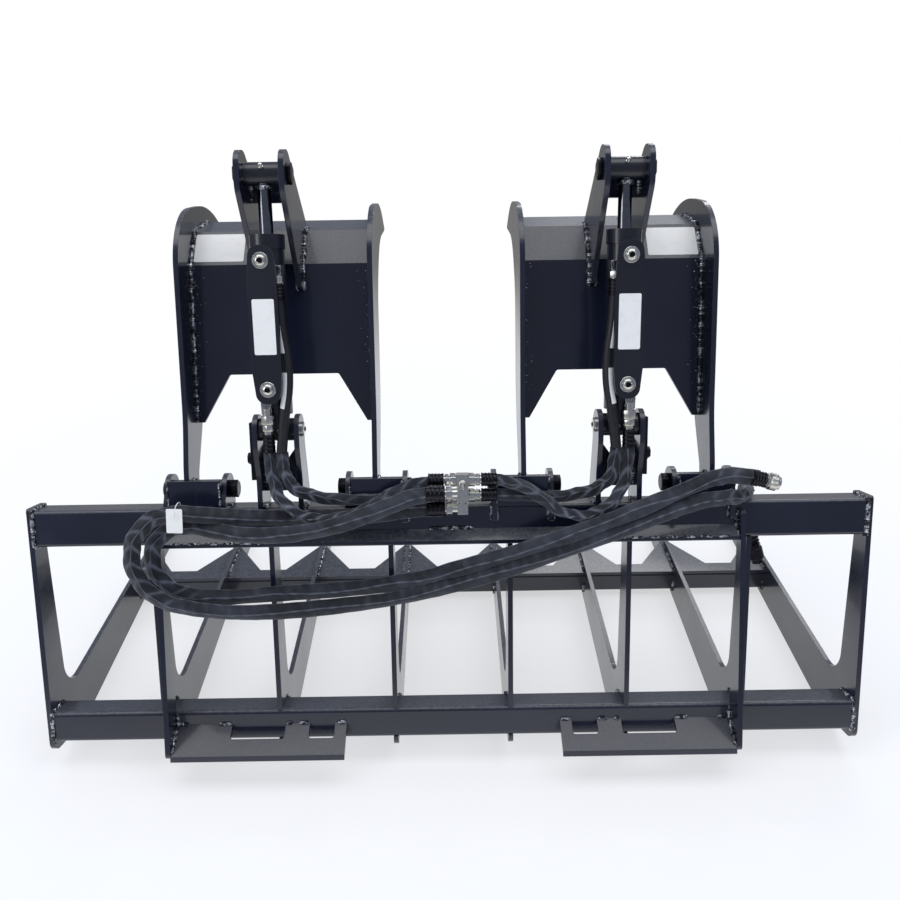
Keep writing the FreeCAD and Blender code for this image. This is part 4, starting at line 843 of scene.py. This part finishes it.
# A dark steel liner for the hex socket in each bolt head: painted shade in the hole.
SOCKET_SHADE_LINER = [(0, 4.4), (4.7, 4.4), (4.9, 6.8), (4.4, 6.8), (4.1, 5.0), (0, 5.0)]
WASHER = [(6.5, 0), (14.2, 0), (14.6, 0.5), (14.6, 2.2), (14.0, 2.8), (6.5, 2.8)]
for side, sign in SIDES:
    seats = [BESIDE[sign] @ axis_at(Vector((0, -68.05, z)), (0, -1, 0)) for z in (86, 318)]
    bolts = [(turned(shape, 32), seat) for seat in seats for shape in (WASHER, HEAD)]
    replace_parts(piece(side + "_guard_bolt_heads", gather(bolts), bright_zinc, side + "_barrel"),
                side + "_guard_bolts")
    # Painted shade: each socket is lined with dark steel so that the hole reads dark.
    socket_shade_liners = [(turned(SOCKET_SHADE_LINER, 24), seat) for seat in seats]
    piece(side + "_guard_bolt_socket_shade", gather(socket_shade_liners), dark_steel, side + "_barrel")
    nipple = gather([(turned(NIPPLE, 16), BESIDE[sign] @ axis_at(Vector((sign * -6, -21.5, 0)), (0, -1, 0)))])
    piece(side + "_base_nipple", nipple, bright_zinc, side + "_barrel")
    eye = IN_FRAME @ axis_at(Vector((sign * CYLINDER_X, ROD_PIN.y - 17, ROD_PIN.z + 9)), (0, -1, 0.5))
    piece(side + "_rod_nipple", gather([(turned(NIPPLE, 16), eye)]), bright_zinc, side + "_rod")
    shell = turned([(20.05, 0), (20.6, 0), (20.9, 0.4), (20.9, 65.6), (20.6, 66), (20.05, 66), (20.05, 0)], 40)
    eye_end = Vector((sign * CYLINDER_X - 33, ROD_PIN.y, ROD_PIN.z))
    piece(side + "_rod_eye_paint", gather([(shell, IN_FRAME @ axis_at(eye_end, (1, 0, 0)))]), cylinder_enamel,
          side + "_rod")
    knob = turned([(ROD / 2 - 1, 0), (ROD / 2 + 2.2, 1), (ROD / 2 + 4, 4), (ROD / 2 + 3.4, 8), (ROD / 2 - 1, 11)], 24)
    under_eye = Vector((0, 0, cylinder_line.length - 20.5 - 9))
    piece(side + "_rod_eye_weld", gather([(knob, BESIDE[sign] @ Matrix.Translation(under_eye))]), weld_metal,
          side + "_rod")

# %% [markdown]
# Blank stickers: white vinyl a third of a millimetre thick, cut with round corners, on each claw's
# cross plate and on each guard. A plain card tag hangs from the hoses by a loop of cord.

# %% Blank stickers and a tag
STICKER = 0.4
FACET_LOW, FACET_HIGH = Vector((0, 94, 990)), Vector((0, 136, 1060))
facet_up = (FACET_HIGH - FACET_LOW).normalized()
facet_out = Vector((0, -facet_up.z, facet_up.y))
for side, sign in SIDES:
    centre = FACET_LOW.lerp(FACET_HIGH, 0.5) + facet_out * 0.1 + Vector((sign * 455, 0, 0))
    across = facet_up.cross(facet_out)
    seat = Matrix((across, facet_up, facet_out)).transposed().to_4x4()
    piece(side + "_claw_sticker", gather([(slab(100, 66, 3, STICKER), IN_FRAME @ Matrix.Translation(centre) @ seat)]),
          blank_vinyl, side + "_claw")
    seat = Matrix(((1, 0, 0), (0, 0, 1), (0, -1, 0))).transposed().to_4x4()
    piece(side + "_guard_sticker",
          gather([(slab(40, 100, 3, STICKER), BESIDE[sign] @ Matrix.Translation((0, -68.05, 200)) @ seat)]),
          blank_vinyl, side + "_barrel")

TAG = Vector((-512, -96, 514))
tag_seat = Matrix.Translation(TAG) @ Matrix.Rotation(math.radians(2), 4, "Y") @ Matrix.Rotation(math.radians(90), 4, "X")
tag_parts = [(slab(30, 46, 2.5, 0.8), IN_FRAME @ tag_seat)]
piece("hose_tag", gather(tag_parts), blank_vinyl, "frame")
loop_ring = [Vector((-512 + 3 * math.sin(a), -78 + 19.5 * math.cos(a), 525 + 19.5 * math.sin(a)))
             for a in [2 * math.pi * k / 32 for k in range(33)]]
loop_rings = []
for place in loop_ring:
    outward = (place - Vector((-512, -78, 525))).normalized()
    loop_rings.append([place + (outward * math.cos(b) + Vector((1, 0, 0)) * math.sin(b)) * 0.9
                       for b in [2 * math.pi * k / 8 for k in range(8)]])
piece("hose_tag_loop", gather([(drawn(loop_rings)[0], IN_FRAME)]), blank_vinyl, "frame")

# %% [markdown]
# The frame is welded from plate, so a bead runs along nearly every joint. A bead is a row of small
# overlapping waves, because the welder moves the arc in short steps. Each one is a tube with eight
# sides that swells and shrinks along its line, sunk half into the corner between two plates.

# %% Draw weld beads
WELD_STEP = 2.2
weld_rng = random.Random(5)


def bead(points, radius=4.0):
    """One weld bead through the places, in millimetres, with a rippled, slightly uneven surface."""
    line, total = even_steps([Vector(p) for p in points], WELD_STEP)
    pitch = weld_rng.uniform(4.0, 5.4)
    phase = weld_rng.uniform(0, 6.28)
    rings = []
    for i, place in enumerate(line):
        along = (line[min(i + 1, len(line) - 1)] - line[max(i - 1, 0)]).normalized()
        first = along.orthogonal().normalized()
        second = along.cross(first)
        distance = total * i / (len(line) - 1)
        ends = min(1.0, 0.35 + min(distance, total - distance) / (radius * 1.2))
        size = radius * ends * (1 + 0.20 * math.sin(distance / pitch * 2 * math.pi + phase)
                                + weld_rng.uniform(-0.07, 0.07))
        drift = first * weld_rng.uniform(-0.4, 0.4) + second * weld_rng.uniform(-0.4, 0.4)
        rings.append([place + drift + (first * math.cos(k * math.pi / 4) + second * math.sin(k * math.pi / 4))
                      * size for k in range(8)])
    return drawn(rings)[0], IN_FRAME


def both_sides(x, half, line, radius=4.0):
    """A bead on each side of a plate that stands at x, along a line of (forward, up) places."""
    return [bead([(x + end * half, forward, up) for forward, up in line], radius) for end in (-1, 1)]


# %% Welds of the lower frame
TINES = (119, 357, 595)
BEAM_LINES = {low: (low, low + height) for low, height in ((BOTTOM_BEAM, BEAM), (TOP_BEAM, 74))}
beam_welds = []
for x in [sign * t for t in TINES for sign in (-1, 1)]:
    for low, high in BEAM_LINES.values():
        beam_welds += both_sides(x, PLATE / 2 + 0.5, ((BEAM + 0.5, low + 6), (BEAM + 0.5, high - 4)), 3.5)
    beam_welds += both_sides(x, PLATE / 2 + 0.5, ((BEAM - 8, 86.8), (BEAM + 2, 86.8)), 4.5)
for sign in (-1, 1):
    for low, high in BEAM_LINES.values():
        beam_welds.append(bead([(sign * 827.5, 58, low), (sign * 827.5, 4, low), (sign * 827.5, 0, low + 4),
                                (sign * 827.5, 0, high - 4), (sign * 827.5, 4, high), (sign * 827.5, 58, high)], 4.5))
piece("beam_welds", gather(beam_welds), weld_metal, "frame")

SLOPE = math.radians(17.8)
tube_along = Vector((0, math.cos(SLOPE), math.sin(SLOPE)))
tube_down = Vector((0, math.sin(SLOPE), -math.cos(SLOPE)))
tube_corner = Vector((0, 489, 204.2))
tube_line = [tube_corner + tube_down * 25, tube_corner + tube_down * 51, tube_corner + tube_down * 51 + tube_along * 51,
             tube_corner + tube_down * 25 + tube_along * 51]
tube_welds = []
for x in [sign * t for t in TINES for sign in (-1, 1)]:
    tube_welds += both_sides(x, PLATE / 2 + 0.5, [(p.y, p.z) for p in tube_line], 3.5)
for sign in (-1, 1):
    tube_welds.append(bead([(sign * 827.5, p.y, p.z) for p in tube_line], 3.5))
piece("cross_tube_welds", gather(tube_welds), weld_metal, "frame")

tooth_line = [tube_corner - tube_down * 8.3 + tube_along * reach for reach in (4, 142)]
tooth_welds = []
for x in [sign * t for t in TINES for sign in (-1, 1)]:
    tooth_welds += both_sides(x, PLATE / 2 + 0.5, [(p.y, p.z) for p in tooth_line], 3.6)
for sign in (-1, 1):
    tooth_welds.append(bead([(sign * 827.5, p.y, p.z) for p in tooth_line], 3.6))
piece("tooth_plate_welds", gather(tooth_welds), weld_metal, "frame")

loader_welds = []
for sign in (-1, 1):
    for x in (568.5, 581.5):
        loader_welds.append(bead([(sign * x, -0.5, TOP_BEAM + 2), (sign * x, -0.5, 496)], 4.5))
        loader_welds.append(bead([(sign * x, -0.5, BOTTOM_BEAM + 2), (sign * x, -0.5, BOTTOM_BEAM + BEAM - 4)], 4.5))
    loader_welds.append(bead([(sign * 568.5, -3, 57), (sign * 568.5, -50, 20)], 4.0))
    loader_welds.append(bead([(sign * 568.5, -3, 465), (sign * 568.5, -18, 449)], 3.5))
    for start, end in ((568, 546), (484, 458), (344, 332), (318, 298), (240, 222)):
        loader_welds.append(bead([(sign * start, -1.5, 58.5), (sign * end, -1.5, 58.5)], 3.8))
    for start in range(322, 560, 34):
        loader_welds.append(bead([(sign * start, -19.5, 447.5), (sign * (start + 24), -19.5, 447.5)], 2.6))
for start, end in ((-42, 47), (250, 286), (-286, -250)):
    loader_welds.append(bead([(start, -1.5, 467.5), (end, -1.5, 467.5)], 3.8))
piece("loader_plate_welds", gather(loader_welds), weld_metal, "frame")

ear_welds = []
FOOT_LINE = ((-0.5, 481), (-0.5, FRAME_TOP), (2, FRAME_TOP + 0.5), (46, FRAME_TOP + 0.5))
for x in [sign * e for e in (88, 200, 444.5, 556.5) for sign in (-1, 1)]:
    ear_welds += both_sides(x, PLATE / 2 + 0.5, FOOT_LINE, 3.8)
for x in [sign * CYLINDER_X + end * 40 for sign in (-1, 1) for end in (-1, 1)]:
    ear_welds += both_sides(x, PLATE / 2 + 0.5, FOOT_LINE, 4.2)
for sign in (-1, 1):
    for end in (-1, 1):
        x = sign * CYLINDER_X + end * 34.5
        ear_welds.append(bead([(x, 23.5, 546), (x, 23.5, 640)], 3.4))
    for x in (sign * 144, sign * 500.5):
        for end in (-1, 1):
            ear_welds.append(bead([(x + end * 50.5, -12, FRAME_TOP + 4), (x + end * 50.5, -12, FRAME_TOP + 54)], 2.2))
piece("hinge_ear_welds", gather(ear_welds), weld_metal, "frame")

# %% Welds of the claws
BEND_LINE = [(78, 676), (94, 990), (136, 1060), (228, 1090)]
HORN_LINE = [(91.3, 937), (94, 990), (136, 1060), (163, 1069)]
for side, sign in SIDES:
    claw_welds = []
    rear = [(forward - 1.5, up) for forward, up in BEND_LINE]
    for x, radius in ((510, 4.6), (152, 4.6)):
        claw_welds.append(bead([(sign * x, forward, up) for forward, up in rear], radius))
        claw_welds.append(bead([(sign * x, 229, 1091), (sign * x, 234, 1084)], 5.5))
    for end in (-1, 1):
        claw_welds += both_sides(sign * CYLINDER_X + end * 40, PLATE / 2 + 0.8,
                                 [(forward - 1, up) for forward, up in HORN_LINE], 4.8)
        x = sign * CYLINDER_X + end * 34.5
        claw_welds.append(bead([(x, 27.5, 1101), (x, 27.5, 1141)], 3.2))
    for x in (sign * 516, sign * 146):
        for end in (-1, 1):
            ring = [(x + end * 5.6, HINGE.y + 20.5 * math.cos(a), HINGE.z + 20.5 * math.sin(a))
                    for a in [2 * math.pi * k / 24 for k in range(25)]]
            claw_welds.append(bead(ring, 3.0))
    piece(side + "_claw_welds", gather(claw_welds), weld_metal, side + "_claw")
    drops = []
    for _ in range(90):
        seam, way = (510, -1) if weld_rng.random() < 0.5 else (152, 1)
        up = weld_rng.uniform(735, 985)
        x = seam + way * (6 + weld_rng.expovariate(1 / 6) % 22)
        drop = bmesh.new()
        bmesh.ops.create_icosphere(drop, subdivisions=1, radius=weld_rng.uniform(0.6, 1.5))
        drops.append((drop, IN_FRAME @ Matrix.Translation((sign * x, 78 + (up - 676) * 16 / 314, up))))
    piece(side + "_claw_spatter", gather(drops), weld_metal, side + "_claw")
